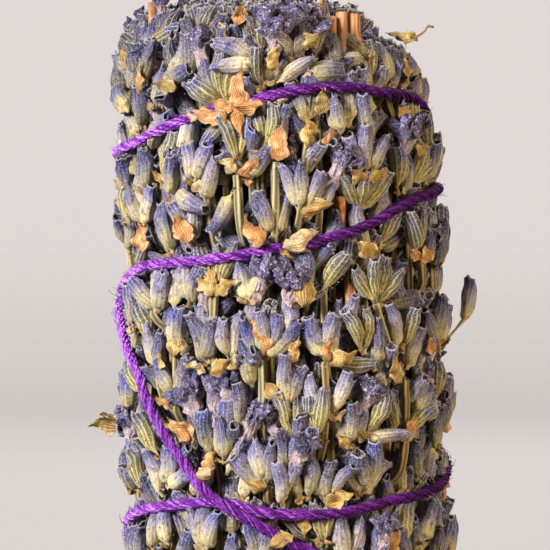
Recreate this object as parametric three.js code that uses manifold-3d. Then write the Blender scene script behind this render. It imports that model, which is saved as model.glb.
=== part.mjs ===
// A hand-tied bundle of dried lavender, standing on its cut stem ends.
// Sixteen flower spikes lie side by side round the outside, nine more stand inside them, a few brown
// woody stems run between the two rings, and one purple cotton string binds it all in a criss-cross.
// Millimetres, +Z up, the front of the bundle towards -Y, the cut ends on z = 0.
import * as THREE from 'three';
import { mergeVertices } from 'three/addons/utils/BufferGeometryUtils.js';
import Module from 'manifold-3d';

const wasm = await Module();
wasm.setup();

// The bundle as a whole
const BUNDLE_HEIGHT = 102;
const BUNDLE_RADIUS = 20.7;
const FOOT_DRAW_IN = 3.2;
const FOOT_TIE_HEIGHT = 7;
const FOOT_TIE_REACH = 8;
const SHOULDER_START = 84;
const SHOULDER_END = 102.5;
const CROWN_SHARE = 0.02;
const LOW_SIDE_DROP = 4;
const LOW_SIDE_FROM = 5;
const LOW_SIDE_TO = 14;
const TOP_DRAW_IN = 1.7;
const TOP_DRAW_IN_FROM = 76;
const TOP_DRAW_IN_TO = 90;
const LEAN = 0.8;
const LEAN_LENGTH = 134;
const GAP = 0.34;

// Outer spikes, laid out flat one lane each and then wrapped round the bundle
const OUTER_COUNT = 16;
const LAY_RADIUS = 18;
const LANE_WIDTH = (2 * Math.PI * LAY_RADIUS) / OUTER_COUNT;
const FIRST_LANE_ANGLE = -6;
const WHORL_PITCH = 9.8;
const ZIGZAG = 0.95;
const LOWEST_WHORL = 9.3;
const HIGHEST_TIP = 96.6;
const CORE_TOP_DEPTH = 4.6;
const CORE_BOTTOM_DEPTH = 7.6;
const CORE_HALF_WIDTH = 2.2;
const CORE_FOOT = 11;
const CORE_END = 88;
const STEM_WIDTH = 1.1;
const STEM_DEPTH = 3.5;
const STEM_FACE_DEPTH = 2.9;

// One dried flower cup (calyx) and one papery bract, both drawn larger than life
const CALYX_LENGTH = 8.6;
const CALYX_WIDTH = 3.5;
const CALYX_SIDES = 3;
const CALYX_SHOULDER = 0.88;
const CALYX_FULLNESS = 0.48;
const BRACT_LENGTH = 5.2;
const BRACT_WIDTH = 3.4;
const BRACT_THICKNESS = 0.7;
const BRACT_OUTLINE = [[0, 0], [0.5, 0.42], [0.1, 1], [-0.5, 0.38]];

// Inner spikes: a ring of eight and one in the middle
const INNER_COUNT = 8;
const INNER_REACH_DEPTH = 7.95;
const INNER_HOLLOW = 0.42;
const INNER_CORE_END = 90;

// Woody stems, standing in the grooves between the outer spikes' cores
const WOODY_LANES = [1, 13, 4, 6, 8, 10];
const WOODY_TOPS = [98, 96.4, 95, 96.5, 94, 96];
const WOODY_WIDTH = 1.3;
const WOODY_DEPTH = 6.2;

// Binding string
const STRING_WIDTH = 1.3;
const STRING_SIDES = 6;
const STRING_STEPS_PER_TURN = 20;
const STRING_PRESS = 1.5;
const STRING_PRESS_REACH = 3.6;
const STRING_SEAT_DEPTH = 1.65;

const degrees = THREE.MathUtils.degToRad;

function seededRandom(seed) {
  let state = seed;
  return () => {
    state = (state + 0x6d2b79f5) | 0;
    let t = Math.imul(state ^ (state >>> 15), 1 | state);
    t = (t + Math.imul(t ^ (t >>> 7), 61 | t)) ^ t;
    return ((t ^ (t >>> 14)) >>> 0) / 4294967296;
  };
}

// Shape of the bundle -------------------------------------------------------------------------

// Outer radius at a height: drawn in where the foot is tied, straight up the sides, round-shouldered.
function outline(height) {
  const foot = FOOT_DRAW_IN * Math.exp(-(((height - FOOT_TIE_HEIGHT) / FOOT_TIE_REACH) ** 2));
  const rise = (height - SHOULDER_START) / (SHOULDER_END - SHOULDER_START);
  const shoulder = rise > 0 ? Math.sqrt(Math.max(1 - rise ** 3, CROWN_SHARE)) : 1;
  return (BUNDLE_RADIUS - foot) * shoulder;
}

function lean(height) {
  return LEAN * Math.sin((2 * Math.PI * height) / LEAN_LENGTH);
}

// The flowers end lower towards +X, so that the bundle's top slopes down on that side.
function lowSideDrop(x) {
  return LOW_SIDE_DROP * THREE.MathUtils.smoothstep(x, LOW_SIDE_FROM, LOW_SIDE_TO);
}

// The bundle's +X side is drawn in towards the top.
function topDrawIn(x, height) {
  const share = THREE.MathUtils.smoothstep(height, TOP_DRAW_IN_FROM, TOP_DRAW_IN_TO);
  return (share * TOP_DRAW_IN * Math.max(x, 0)) / BUNDLE_RADIUS;
}

// Angles are measured from the front, positive towards +X.
function onBundle(angle, height, radius) {
  const x = radius * Math.sin(angle);
  return new THREE.Vector3(x - topDrawIn(x, height) + lean(height), -radius * Math.cos(angle), height);
}

// The string's route in degrees and millimetres: it starts in the knot at the back of the foot, climbs
// round the bundle, turns at the top and comes down more steeply across its own turns to the knot.
const STRING_CLIMB = [
  [-180, 7.6], [-90, 7.6], [0, 7.8], [90, 8.1], [160, 9.0], [185, 11.0], [208, 15.0], [234, 21.5],
  [256, 29.2], [273, 34.6], [293, 37.0], [312, 38.0], [328, 38.7], [338, 38.6], [347, 38.0], [357, 37.5],
  [371, 37.4], [382, 37.8], [394, 38.5], [405, 39.0], [420, 39.5], [436, 40.6],
  [470, 44.5], [510, 51.0], [545, 56.2], [590, 60.6], [633, 63.5], [643, 64.5], [653, 65.8], [662, 66.6],
  [670, 66.9], [691, 67.3], [704, 67.8], [715, 68.5], [727, 69.1], [737, 70.0], [746, 70.8], [754, 71.8],
  [762, 73.0], [770, 74.1], [780, 75.0], [800, 76.0], [820, 76.6], [870, 78.0], [930, 79.2], [980, 80.2],
  [1018, 81.5], [1030, 82.5], [1039, 83.3], [1047, 84.1], [1054, 84.7], [1066, 85.5], [1078, 86.6],
  [1085, 87.1], [1092, 87.5], [1106, 87.8], [1121, 87.4], [1141, 87.1], [1160, 85.9], [1190, 82.4],
];
const STRING_DESCENT = [
  [1184, 83.2], [1210, 79.6], [1260, 73.2], [1310, 66.0], [1335, 62.4],
  [1352, 59.4], [1366, 56.2], [1376, 53.5], [1382, 50.6], [1388, 48.2], [1393, 46.2], [1399, 44.2],
  [1404, 42.4], [1409, 40.8], [1415, 39.3], [1423, 37.7], [1431, 36.1], [1439, 34.5], [1447, 33.2],
  [1458, 31.4], [1480, 27.4], [1510, 22.6], [1550, 16.8], [1585, 12.2], [1605, 10.2], [1620, 9.4],
];
const MM_PER_DEGREE = degrees(1) * BUNDLE_RADIUS;

// Evenly spaced points of a stretch of the route, as {angle, height} with the angle in radians.
function routePoints(stretch, perTurn) {
  const flat = stretch.map(([angle, height]) => new THREE.Vector3(angle * MM_PER_DEGREE, height, 0));
  const turns = (stretch.at(-1)[0] - stretch[0][0]) / 360;
  const spaced = new THREE.CatmullRomCurve3(flat).getSpacedPoints(Math.round(turns * perTurn));
  return spaced.map((p) => ({ angle: degrees(p.x / MM_PER_DEGREE), height: p.y }));
}

const climb = routePoints(STRING_CLIMB, STRING_STEPS_PER_TURN);
const descent = routePoints(STRING_DESCENT, STRING_STEPS_PER_TURN);
const pressedRoute = [...routePoints(STRING_CLIMB, 90), ...routePoints(STRING_DESCENT, 90)];

function surfaceDistance(angle, height, point) {
  const turn = THREE.MathUtils.euclideanModulo(angle - point.angle + Math.PI, 2 * Math.PI) - Math.PI;
  return Math.hypot(turn * BUNDLE_RADIUS, height - point.height);
}

function nearestOnRoute(angle, height, route) {
  return Math.min(...route.map((point) => surfaceDistance(angle, height, point)));
}

// How far the tightened string presses the flowers in at a place on the surface.
function press(angle, height) {
  const distance = nearestOnRoute(angle, height, pressedRoute);
  return STRING_PRESS * Math.exp(-((distance / STRING_PRESS_REACH) ** 2));
}

// Solids ----------------------------------------------------------------------------------------

function toSolid(geometry) {
  const bare = geometry.index ? geometry.toNonIndexed() : geometry.clone();
  bare.deleteAttribute('normal');
  bare.deleteAttribute('uv');
  const merged = mergeVertices(bare, 1e-5);
  const vertProperties = new Float32Array(merged.attributes.position.array);
  const triVerts = new Uint32Array(merged.index.array);
  return new wasm.Manifold(new wasm.Mesh({ numProp: 3, vertProperties, triVerts }));
}

// Wrapping a flat layout turns its faces inside out, so every triangle's corners are put in reverse.
function turnedOut(geometry) {
  const loose = geometry.index ? geometry.toNonIndexed() : geometry;
  const corners = loose.attributes.position.array;
  for (let i = 0; i < corners.length; i += 9) {
    const first = corners.slice(i, i + 3);
    corners.copyWithin(i, i + 6, i + 9);
    corners.set(first, i + 6);
  }
  return loose;
}

function fuse(solids) {
  return solids.reduce((whole, solid) => whole.add(solid));
}

// The one body that counts: loose scraps and sealed hollows are left out.
function mainBody(solid) {
  return solid.decompose().reduce((best, piece) => (piece.volume() > best.volume() ? piece : best));
}

function toMesh(name, solid, material) {
  const result = mainBody(solid).getMesh();
  const geometry = new THREE.BufferGeometry();
  geometry.setAttribute('position', new THREE.BufferAttribute(new Float32Array(result.vertProperties), 3));
  geometry.setIndex(new THREE.BufferAttribute(new Uint32Array(result.triVerts), 1));
  geometry.computeVertexNormals();
  const mesh = new THREE.Mesh(geometry, material);
  mesh.name = name;
  return mesh;
}

function moveVertices(geometry, move) {
  const position = geometry.attributes.position;
  const point = new THREE.Vector3();
  for (let i = 0; i < position.count; i += 1) {
    move(point.fromBufferAttribute(position, i));
    position.setXYZ(i, point.x, point.y, point.z);
  }
  return geometry;
}

// A straight-sided tube through points, with a polygon section.
function tube(points, width, sides, steps) {
  const section = new THREE.Shape();
  for (let i = 0; i < sides; i += 1) {
    const turn = (2 * Math.PI * (i + 0.5)) / sides;
    const corner = [(width / 2) * Math.cos(turn), (width / 2) * Math.sin(turn)];
    if (i === 0) section.moveTo(...corner);
    else section.lineTo(...corner);
  }
  const extrudePath = new THREE.CatmullRomCurve3(points);
  return new THREE.ExtrudeGeometry(section, { steps, extrudePath });
}

// A flower cup from its root to its mouth: thin at the root and widest near the mouth, one edge out.
function calyx(root, mouth, width) {
  const length = root.distanceTo(mouth);
  const profile = [
    new THREE.Vector2(0, 0),
    new THREE.Vector2(CALYX_FULLNESS * width, CALYX_SHOULDER * length),
    new THREE.Vector2(0, length),
  ];
  const geometry = new THREE.LatheGeometry(profile, CALYX_SIDES, Math.PI);
  const direction = mouth.clone().sub(root).normalize();
  geometry.applyQuaternion(new THREE.Quaternion().setFromUnitVectors(new THREE.Vector3(0, 1, 0), direction));
  return geometry.translate(root.x, root.y, root.z);
}

// A papery bract, pointed at its tip, lying against the cups: up is its length, outward its face.
function bract(root, sideways) {
  const corners = BRACT_OUTLINE.map(([across, along]) =>
    new THREE.Vector2(across * BRACT_WIDTH, along * BRACT_LENGTH));
  const shape = new THREE.Shape(corners);
  const geometry = new THREE.ExtrudeGeometry(shape, { depth: BRACT_THICKNESS, bevelEnabled: false });
  geometry.rotateX(Math.PI / 2);
  geometry.rotateY(sideways);
  return geometry.translate(root.x, root.y, root.z);
}

// Outer spikes ----------------------------------------------------------------------------------

const SWAY = 0.05;
const SWAY_LENGTH = 72;
const LIFT = 1.5;
const SETTLE_HEIGHT = 16;
const FULL_PRESS_DEPTH = 3;
const NO_PRESS_DEPTH = 7.4;
const DROP_FROM = 80;

// Wraps a point of the flat layout (x across the lane, y outward, z up) round the bundle.
function wrap(point, laneAngle) {
  const settled = THREE.MathUtils.smoothstep(point.z, 0, SETTLE_HEIGHT);
  const across = laneAngle + point.x / LAY_RADIUS;
  const height = point.z + settled * LIFT * Math.sin(3 * across + 1);
  const angle = across + settled * SWAY * Math.sin((2 * Math.PI * height) / SWAY_LENGTH + 1);
  const share = (NO_PRESS_DEPTH + point.y) / (NO_PRESS_DEPTH - FULL_PRESS_DEPTH);
  const pressed = settled * press(angle, height) * THREE.MathUtils.clamp(share, 0, 1);
  point.copy(onBundle(angle, height, outline(height) + point.y - pressed));
  point.z -= lowSideDrop(point.x) * THREE.MathUtils.smoothstep(height, DROP_FROM, HIGHEST_TIP);
}

function wrapped(geometry, laneAngle) {
  return toSolid(turnedOut(moveVertices(geometry, (point) => wrap(point, laneAngle))));
}

// Each whorl has a lozenge-ended place of its own, wide at its middle, so that neighbours interlock.
function keepInPlace(geometry, middle) {
  return moveVertices(geometry, (point) => {
    const away = Math.abs(point.z - middle) / WHORL_PITCH;
    const half = LANE_WIDTH / 2 + ZIGZAG * (1 - 4 * away) - GAP / 2;
    point.x = THREE.MathUtils.clamp(point.x, -half, half);
  });
}

// The spike's stem, standing as a ridge on the packed inner cups that fill the lane behind it.
function ridgedCore(from, to, steps) {
  const section = new THREE.Shape();
  section.moveTo(-CORE_HALF_WIDTH, -CORE_BOTTOM_DEPTH);
  section.lineTo(CORE_HALF_WIDTH, -CORE_BOTTOM_DEPTH);
  section.lineTo(CORE_HALF_WIDTH, -CORE_TOP_DEPTH);
  section.lineTo(STEM_WIDTH / 2, -STEM_FACE_DEPTH);
  section.lineTo(-STEM_WIDTH / 2, -STEM_FACE_DEPTH);
  section.lineTo(-CORE_HALF_WIDTH, -CORE_TOP_DEPTH);
  section.closePath();
  const geometry = new THREE.ExtrudeGeometry(section, { depth: to - from, steps, bevelEnabled: false });
  return geometry.translate(0, 0, from);
}

function strip(width, depth, from, to) {
  const geometry = new THREE.BoxGeometry(width, width, to - from);
  return geometry.translate(0, -depth, (from + to) / 2);
}

const SIDE_SPREAD = 2.75;
const CUP_DEPTH = 1.85;
const ROOT_DEPTH = 4.1;
const MIDDLE_CUP_RAISE = 2.3;
const MIDDLE_CUP_SHARE = 0.92;
const MOUTH_SCATTER = 0.4;
const LENGTH_SCATTER = 0.9;

// Two cups spread to the sides from the foot of the whorl, and one stands in the fork between them.
function whorl(foot, random) {
  const sides = [-1, 1].map((side) => {
    const root = new THREE.Vector3(0.2 * side, -ROOT_DEPTH, foot + 0.2);
    const out = SIDE_SPREAD * side + MOUTH_SCATTER * (random() - 0.5);
    const mouth = new THREE.Vector3(out, -CUP_DEPTH, foot + CALYX_LENGTH - LENGTH_SCATTER * random());
    return calyx(root, mouth, CALYX_WIDTH);
  });
  const root = new THREE.Vector3(0, -ROOT_DEPTH, foot + MIDDLE_CUP_RAISE);
  const top = foot + MIDDLE_CUP_RAISE + CALYX_LENGTH - LENGTH_SCATTER * random();
  const mouth = new THREE.Vector3(MOUTH_SCATTER * (random() - 0.5), -CUP_DEPTH, top);
  return [...sides, calyx(root, mouth, MIDDLE_CUP_SHARE * CALYX_WIDTH)];
}

function whorlBract(foot, side) {
  return bract(new THREE.Vector3(0.7 * side, -0.2, foot + 0.4), 0.3 * side);
}

function outerSpike(index) {
  const laneAngle = degrees(FIRST_LANE_ANGLE + (360 * index) / OUTER_COUNT);
  const random = seededRandom(101 + index);
  const staggered = index % 2 === 1;
  const firstFoot = staggered ? LOWEST_WHORL + WHORL_PITCH / 2 : LOWEST_WHORL;
  const pieces = [
    ridgedCore(CORE_FOOT, CORE_END, 8),
    strip(STEM_WIDTH, STEM_DEPTH, 0, CORE_FOOT + 2),
    strip(STEM_WIDTH, CORE_BOTTOM_DEPTH - 1, 0, CORE_FOOT + 2),
  ];
  for (let foot = firstFoot, count = 0; foot + CALYX_LENGTH < HIGHEST_TIP; foot += WHORL_PITCH) {
    const middle = foot + WHORL_PITCH / 2;
    pieces.push(...whorl(foot, random).map((cup) => keepInPlace(cup, middle)));
    if ((count + index) % 4 === 0) {
      pieces.push(keepInPlace(whorlBract(foot, count % 2 ? 1 : -1), middle));
    }
    count += 1;
  }
  if (staggered) pieces.push(...tipBuds(random));
  pieces.push(...(STRAYS[index] ?? []));
  return fuse(pieces.map((piece) => wrapped(piece, laneAngle))).subtract(stringRoom);
}

const BUD_SHARE = 0.85;

function tipBuds(random) {
  return [-1, 1].map((side) => {
    const root = new THREE.Vector3(0.2 * side, -ROOT_DEPTH, CORE_END - 1);
    const mouth = new THREE.Vector3(1.4 * side, -CUP_DEPTH - 0.2, HIGHEST_TIP - LENGTH_SCATTER * random());
    return calyx(root, mouth, BUD_SHARE * CALYX_WIDTH);
  });
}

// What sticks out of the bundle: a lone cup on its stalk, an ochre leaf and a withered bract.
const LONE_CUP_LANE = 4;
const LONE_STALK = [[0, -2.2, 57.6], [0.2, 0, 59.2], [0.3, 0.9, 60.8], [0.4, 1.5, 62.4]];
const LONE_STALK_WIDTH = 0.9;
const LONE_CUP_TIP = [0.3, 2.4, 66.4];
const LONE_CUP_WIDTH = 2.3;
const OCHRE_LEAF_LANE = 12;
const WITHERED_BRACT_LANE = 3;

function strayCup() {
  const line = LONE_STALK.map((point) => new THREE.Vector3(...point));
  const cup = calyx(line[2], new THREE.Vector3(...LONE_CUP_TIP), LONE_CUP_WIDTH);
  return [tube(line, LONE_STALK_WIDTH, 4, line.length - 1), cup];
}

function strayLeaf(root, length, outward) {
  const leaf = bract(new THREE.Vector3(0, 0, 0), 0);
  leaf.scale(0.75, 1, length / BRACT_LENGTH);
  leaf.rotateX(-outward);
  return [leaf.translate(root.x, root.y, root.z)];
}

const STRAYS = {
  [LONE_CUP_LANE]: strayCup(),
  [OCHRE_LEAF_LANE]: strayLeaf(new THREE.Vector3(0, -3.4, 46), 7.4, degrees(72)),
  [WITHERED_BRACT_LANE]: strayLeaf(new THREE.Vector3(0.4, -3.2, 90), 14.3, degrees(45)),
};

// Inner spikes ----------------------------------------------------------------------------------

const MIDDLE_REACH = 0.385;
const MIDDLE_CORE_END = 95;
const INNER_CORE_FOOT = 11;
const DOME_FALL = 0.055;

// How far out from the axis the inner spikes may reach at a height.
function innerReach(height) {
  return outline(Math.min(height, CORE_END)) - INNER_REACH_DEPTH;
}

// Places a point of a wedge: x from -1 to 1 across it, y from the axis (0) to its outer side (1).
function standInWedge(point, wedgeAngle) {
  const radius = THREE.MathUtils.clamp(point.y, INNER_HOLLOW, 1) * innerReach(point.z);
  const half = Math.PI / INNER_COUNT - GAP / 2 / radius;
  const angle = wedgeAngle + THREE.MathUtils.clamp(point.x, -1, 1) * half;
  point.copy(onBundle(angle, point.z, radius));
}

function wedgeCore() {
  const height = INNER_CORE_END - INNER_CORE_FOOT;
  const geometry = new THREE.BoxGeometry(2, 1 - INNER_HOLLOW, height, 2, 1, 6);
  return geometry.translate(0, (1 + INNER_HOLLOW) / 2, (INNER_CORE_END + INNER_CORE_FOOT) / 2);
}

function domeHeight(radius) {
  return BUNDLE_HEIGHT - DOME_FALL * radius ** 2;
}

const CUP_ROWS = [{ reach: 0.6, places: [-0.48, 0.48] }, { reach: 0.84, places: [-0.62, 0, 0.62] }];

// An upright cup in the wedge's own terms, with its rim drawn as a share of the wedge's size.
function topCup(place, reach, wedgeAngle, random) {
  const radius = reach * innerReach(CORE_END);
  const arc = (radius * Math.PI) / INNER_COUNT;
  const across = radius * Math.sin(wedgeAngle + (place * Math.PI) / INNER_COUNT);
  const tip = domeHeight(radius) - lowSideDrop(across) - LENGTH_SCATTER * random();
  const cup = calyx(new THREE.Vector3(0, 0, 0), new THREE.Vector3(0, 0, CALYX_LENGTH), 1.2 * CALYX_WIDTH);
  cup.rotateZ(2 * random());
  cup.scale(1 / arc, 1 / innerReach(CORE_END), 1);
  const tilt = 0.05 * (random() - 0.2);
  return moveVertices(cup.translate(place, reach, tip - CALYX_LENGTH), (point) => {
    point.y += tilt * (point.z - tip + CALYX_LENGTH) * 0.4;
  });
}

function footStems(places) {
  return places.map(([across, reach]) => {
    const radius = reach * innerReach(0);
    const stem = new THREE.BoxGeometry(STEM_WIDTH, STEM_WIDTH, INNER_CORE_FOOT + 3);
    const centre = onBundle(across, (INNER_CORE_FOOT + 3) / 2, radius);
    return toSolid(stem.rotateZ(across).translate(centre.x, centre.y, centre.z));
  });
}

function innerSpike(index) {
  const wedgeAngle = (2 * Math.PI * (index + 0.5)) / INNER_COUNT;
  const random = seededRandom(401 + index);
  const cups = CUP_ROWS.flatMap(({ reach, places }) =>
    places.map((place) => topCup(place, reach, wedgeAngle, random)));
  const solids = [wedgeCore(), ...cups].map((piece) =>
    toSolid(turnedOut(moveVertices(piece, (point) => standInWedge(point, wedgeAngle)))));
  return fuse([...solids, ...footStems([[wedgeAngle - 0.2, 0.68], [wedgeAngle + 0.2, 0.8]])]);
}

// The spike in the middle, whose cut stem stands on the axis.
const MIDDLE_CUPS = 5;
const MIDDLE_CUP_FOOT = 93;
const MIDDLE_CUP_TIP = 101;
const MIDDLE_FOOT_REACH = 1.2;
const MIDDLE_TIP_REACH = 2.6;
const MIDDLE_STEM_WIDTH = 2.2;

function middleSpike() {
  const random = seededRandom(490);
  const length = MIDDLE_CORE_END - INNER_CORE_FOOT;
  const core = new THREE.CylinderGeometry(1, 1, length, 6, 5).rotateX(Math.PI / 2);
  core.translate(0, 0, (MIDDLE_CORE_END + INNER_CORE_FOOT) / 2);
  moveVertices(core, (point) => {
    const reach = MIDDLE_REACH * innerReach(point.z);
    point.set(point.x * reach + lean(point.z), point.y * reach, point.z);
  });
  const stemRadius = MIDDLE_STEM_WIDTH / 2;
  const stem = new THREE.CylinderGeometry(stemRadius, stemRadius, INNER_CORE_FOOT + 2, 6);
  stem.rotateX(Math.PI / 2).translate(0, 0, (INNER_CORE_FOOT + 2) / 2);
  const spot = (turn, radius, height) =>
    new THREE.Vector3(lean(BUNDLE_HEIGHT) + radius * Math.cos(turn), radius * Math.sin(turn), height);
  const cups = [calyx(spot(0, 0, MIDDLE_CUP_FOOT), spot(0, 0, BUNDLE_HEIGHT), CALYX_WIDTH)];
  for (let i = 0; i < MIDDLE_CUPS; i += 1) {
    const turn = (2 * Math.PI * i) / MIDDLE_CUPS + 0.4 * random();
    const tip = MIDDLE_CUP_TIP - LENGTH_SCATTER * random();
    const foot = spot(turn, MIDDLE_FOOT_REACH, MIDDLE_CUP_FOOT);
    cups.push(calyx(foot, spot(turn, MIDDLE_TIP_REACH, tip), MIDDLE_CUP_SHARE * CALYX_WIDTH));
  }
  return fuse([core, stem, ...cups].map(toSolid));
}

// Woody stems -----------------------------------------------------------------------------------

function woodyStem(index) {
  const angle = degrees(FIRST_LANE_ANGLE + (360 * (WOODY_LANES[index] + 0.5)) / OUTER_COUNT);
  const stem = new THREE.CylinderGeometry(WOODY_WIDTH / 2, WOODY_WIDTH / 2, WOODY_TOPS[index], 6, 9);
  stem.rotateX(Math.PI / 2).translate(0, -WOODY_DEPTH, WOODY_TOPS[index] / 2);
  return wrapped(moveVertices(stem, (point) => {
    point.y += outline(Math.min(point.z, CORE_END)) - outline(point.z);
  }), angle);
}

// Binding string --------------------------------------------------------------------------------

const KNOT_HEIGHT = 8.6;
const KNOT_SIZE = [2.0, 1.4, 1.7];
const STRING_TAILS = [
  [[176, 8.2], [170, 6.6], [166, 4.6], [165, 2.6]],
  [[184, 8.0], [191, 6.2], [194, 4.4], [193, 2.0]],
];
const BARE_STEM_TOP = 9;
const FIRST_CUPS = 15;
const RIDE_SHARE = 0.85;
const RIDE_REACH = 2.2 * STRING_WIDTH;

// The string lies on the bare stems at the foot and on the pressed flowers above.
function restingRadius(height) {
  const onFlowers = THREE.MathUtils.smoothstep(height, BARE_STEM_TOP, FIRST_CUPS);
  const depth = THREE.MathUtils.lerp(STEM_FACE_DEPTH - GAP, STRING_SEAT_DEPTH, onFlowers);
  return outline(height) - depth + STRING_WIDTH / 2;
}

// Where the descending strand crosses the climbing one it rides over it.
function rideOver(point, index) {
  const distance = nearestOnRoute(point.angle, point.height, climb);
  const clearOfJoin = THREE.MathUtils.smoothstep(index, 1, 5);
  return RIDE_SHARE * STRING_WIDTH * clearOfJoin * Math.exp(-((distance / RIDE_REACH) ** 2));
}

function strand(route, extraWidth, lift = () => 0) {
  const points = route.map((point, index) =>
    onBundle(point.angle, point.height, restingRadius(point.height) + lift(point, index)));
  return toSolid(tube(points, STRING_WIDTH + extraWidth, STRING_SIDES, points.length - 1));
}

function knot(extraWidth) {
  const lump = new THREE.SphereGeometry(1, 6, 4);
  lump.scale(...KNOT_SIZE.map((size) => size + extraWidth / 2));
  const place = onBundle(Math.PI, KNOT_HEIGHT, restingRadius(KNOT_HEIGHT) + 0.4);
  const tails = STRING_TAILS.map((tail) =>
    strand(tail.map(([angle, height]) => ({ angle: degrees(angle), height })), extraWidth));
  return fuse([toSolid(lump.translate(place.x, place.y, place.z)), ...tails]);
}

function wrappingString(extraWidth) {
  return fuse([strand(climb, extraWidth), strand(descent, extraWidth, rideOver), knot(extraWidth)]);
}

// The room that the string takes up among the flowers.
const stringRoom = wrappingString(2 * GAP);

// Assembly --------------------------------------------------------------------------------------

const driedFlower = new THREE.MeshStandardMaterial({ color: 0x8b8499, roughness: 0.95, metalness: 0 });
const innerFlower = new THREE.MeshStandardMaterial({ color: 0x756f86, roughness: 0.95, metalness: 0 });
const wood = new THREE.MeshStandardMaterial({ color: 0xb4764a, roughness: 0.85, metalness: 0 });
const cotton = new THREE.MeshStandardMaterial({ color: 0x8336b8, roughness: 0.6, metalness: 0 });

const numbered = (name, index) => `${name}_${String(index + 1).padStart(2, '0')}`;

const bundle = new THREE.Group();
for (let i = 0; i < OUTER_COUNT; i += 1) {
  bundle.add(toMesh(numbered('outer_spike', i), outerSpike(i), driedFlower));
}
for (let i = 0; i < INNER_COUNT; i += 1) {
  bundle.add(toMesh(numbered('inner_spike', i), innerSpike(i), innerFlower));
}
bundle.add(toMesh(numbered('inner_spike', INNER_COUNT), middleSpike(), innerFlower));
WOODY_LANES.forEach((_, i) => bundle.add(toMesh(numbered('woody_stem', i), woodyStem(i), wood)));
bundle.add(toMesh('wrapping_string', wrappingString(0), cotton));

const lavender = new THREE.Group();
lavender.add(bundle);
const reach = new THREE.Box3().setFromObject(bundle);
const middle = reach.getCenter(new THREE.Vector3());
bundle.position.set(-middle.x, -middle.y, -reach.min.z);

export default lavender;
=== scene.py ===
import math
import bpy
import numpy as np
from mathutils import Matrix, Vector
from mathutils.kdtree import KDTree


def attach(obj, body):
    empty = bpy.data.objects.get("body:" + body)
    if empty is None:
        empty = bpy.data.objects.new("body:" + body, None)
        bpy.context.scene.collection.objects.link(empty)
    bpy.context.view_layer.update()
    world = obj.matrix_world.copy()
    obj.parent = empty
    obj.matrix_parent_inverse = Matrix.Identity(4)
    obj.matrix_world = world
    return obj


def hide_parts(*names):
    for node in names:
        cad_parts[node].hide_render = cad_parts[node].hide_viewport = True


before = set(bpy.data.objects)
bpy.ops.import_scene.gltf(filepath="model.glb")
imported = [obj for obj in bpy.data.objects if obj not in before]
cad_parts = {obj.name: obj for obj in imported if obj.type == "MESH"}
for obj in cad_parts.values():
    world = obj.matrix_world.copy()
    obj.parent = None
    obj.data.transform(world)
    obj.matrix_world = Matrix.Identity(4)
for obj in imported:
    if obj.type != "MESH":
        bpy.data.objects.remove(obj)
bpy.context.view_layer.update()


# Paper sweep, lamps and camera --------------------------------------------------------------------
# The bundle stands by itself on plain pale paper that curves up all round it. A soft lamp stands at the
# left front, weaker ones at the right and behind, and the camera looks level at the upper two thirds. The
# sweep and the lamps are given in metres, and all other sizes in millimetres.
SWEEP_FLAT = 1.25
SWEEP_CURVE = 0.55
SWEEP_TOP = 2.4
SWEEP_BENDS = 16
SWEEP_TURNS = 96
PHOTO_SIDE = 550
PIXELS_PER_MM = 8.1
CAMERA_DISTANCE = 400
CAMERA_LEFT = -1.0
CAMERA_HEIGHT = 65.6
SENSOR = 36


def dye(red, green, blue):
    """A colour as it is seen, 0 to 255, in the light values that a shader takes."""
    seen = np.array([red, green, blue]) / 255
    light = np.where(seen <= 0.04045, seen / 12.92, ((seen + 0.055) / 1.055) ** 2.4)
    return (*light.tolist(), 1.0)


def new_finish(name):
    finish = bpy.data.materials.new(name)
    finish.use_nodes = True
    finish.node_tree.nodes.clear()
    return finish, finish.node_tree


def node(kind, sockets=(), **settings):
    """Adds a node to the finish in hand. A socket is given a value, or another node's output to follow."""
    made = tree.nodes.new("ShaderNode" + kind)
    for name, value in settings.items():
        setattr(made, name, value)
    for name, value in dict(sockets).items():
        if isinstance(value, bpy.types.NodeSocket):
            tree.links.new(value, made.inputs[name])
        else:
            made.inputs[name].default_value = value
    return made


def over(amount, below, above, way="MIX"):
    """One colour laid over another by an amount from 0 to 1."""
    laid = node("Mix", {"Factor": amount, "A": below, "B": above}, data_type="RGBA", blend_type=way)
    return laid.outputs["Result"]


def between(value, low, high, start=0.0, end=1.0):
    """Where a value lies between two limits, told as a number from start to end."""
    return node("MapRange", {"Value": value, "From Min": low, "From Max": high,
                             "To Min": start, "To Max": end}).outputs[0]


def reckon(sum_kind, *values):
    """One sum, worked out anew at every place of a finish."""
    return node("Math", enumerate(values), operation=sum_kind).outputs[0]


def shade_from(shader):
    node("OutputMaterial", {"Surface": shader.outputs[0]})


paper, tree = new_finish("pale paper")
paper_grain = node("TexNoise", {"Scale": 2.0, "Detail": 2.0}).outputs[0]
paper_tone = over(paper_grain, dye(94, 90, 89), dye(98, 94, 93))
lie = node("SeparateXYZ", {"Vector": node("NewGeometry").outputs["Normal"]})
level_part = between(reckon("ABSOLUTE", lie.outputs["Z"]), 0.85, 1.0)
paper_glow = over(level_part, dye(218, 211, 209), dye(202, 196, 193))
paper_body = node("BsdfPrincipled", {
    "Base Color": paper_tone, "Roughness": 1.0, "Emission Color": paper_glow, "Emission Strength": 1.0})
paper_body.inputs["Specular IOR Level"].default_value = 0.0
shade_from(paper_body)

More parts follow.
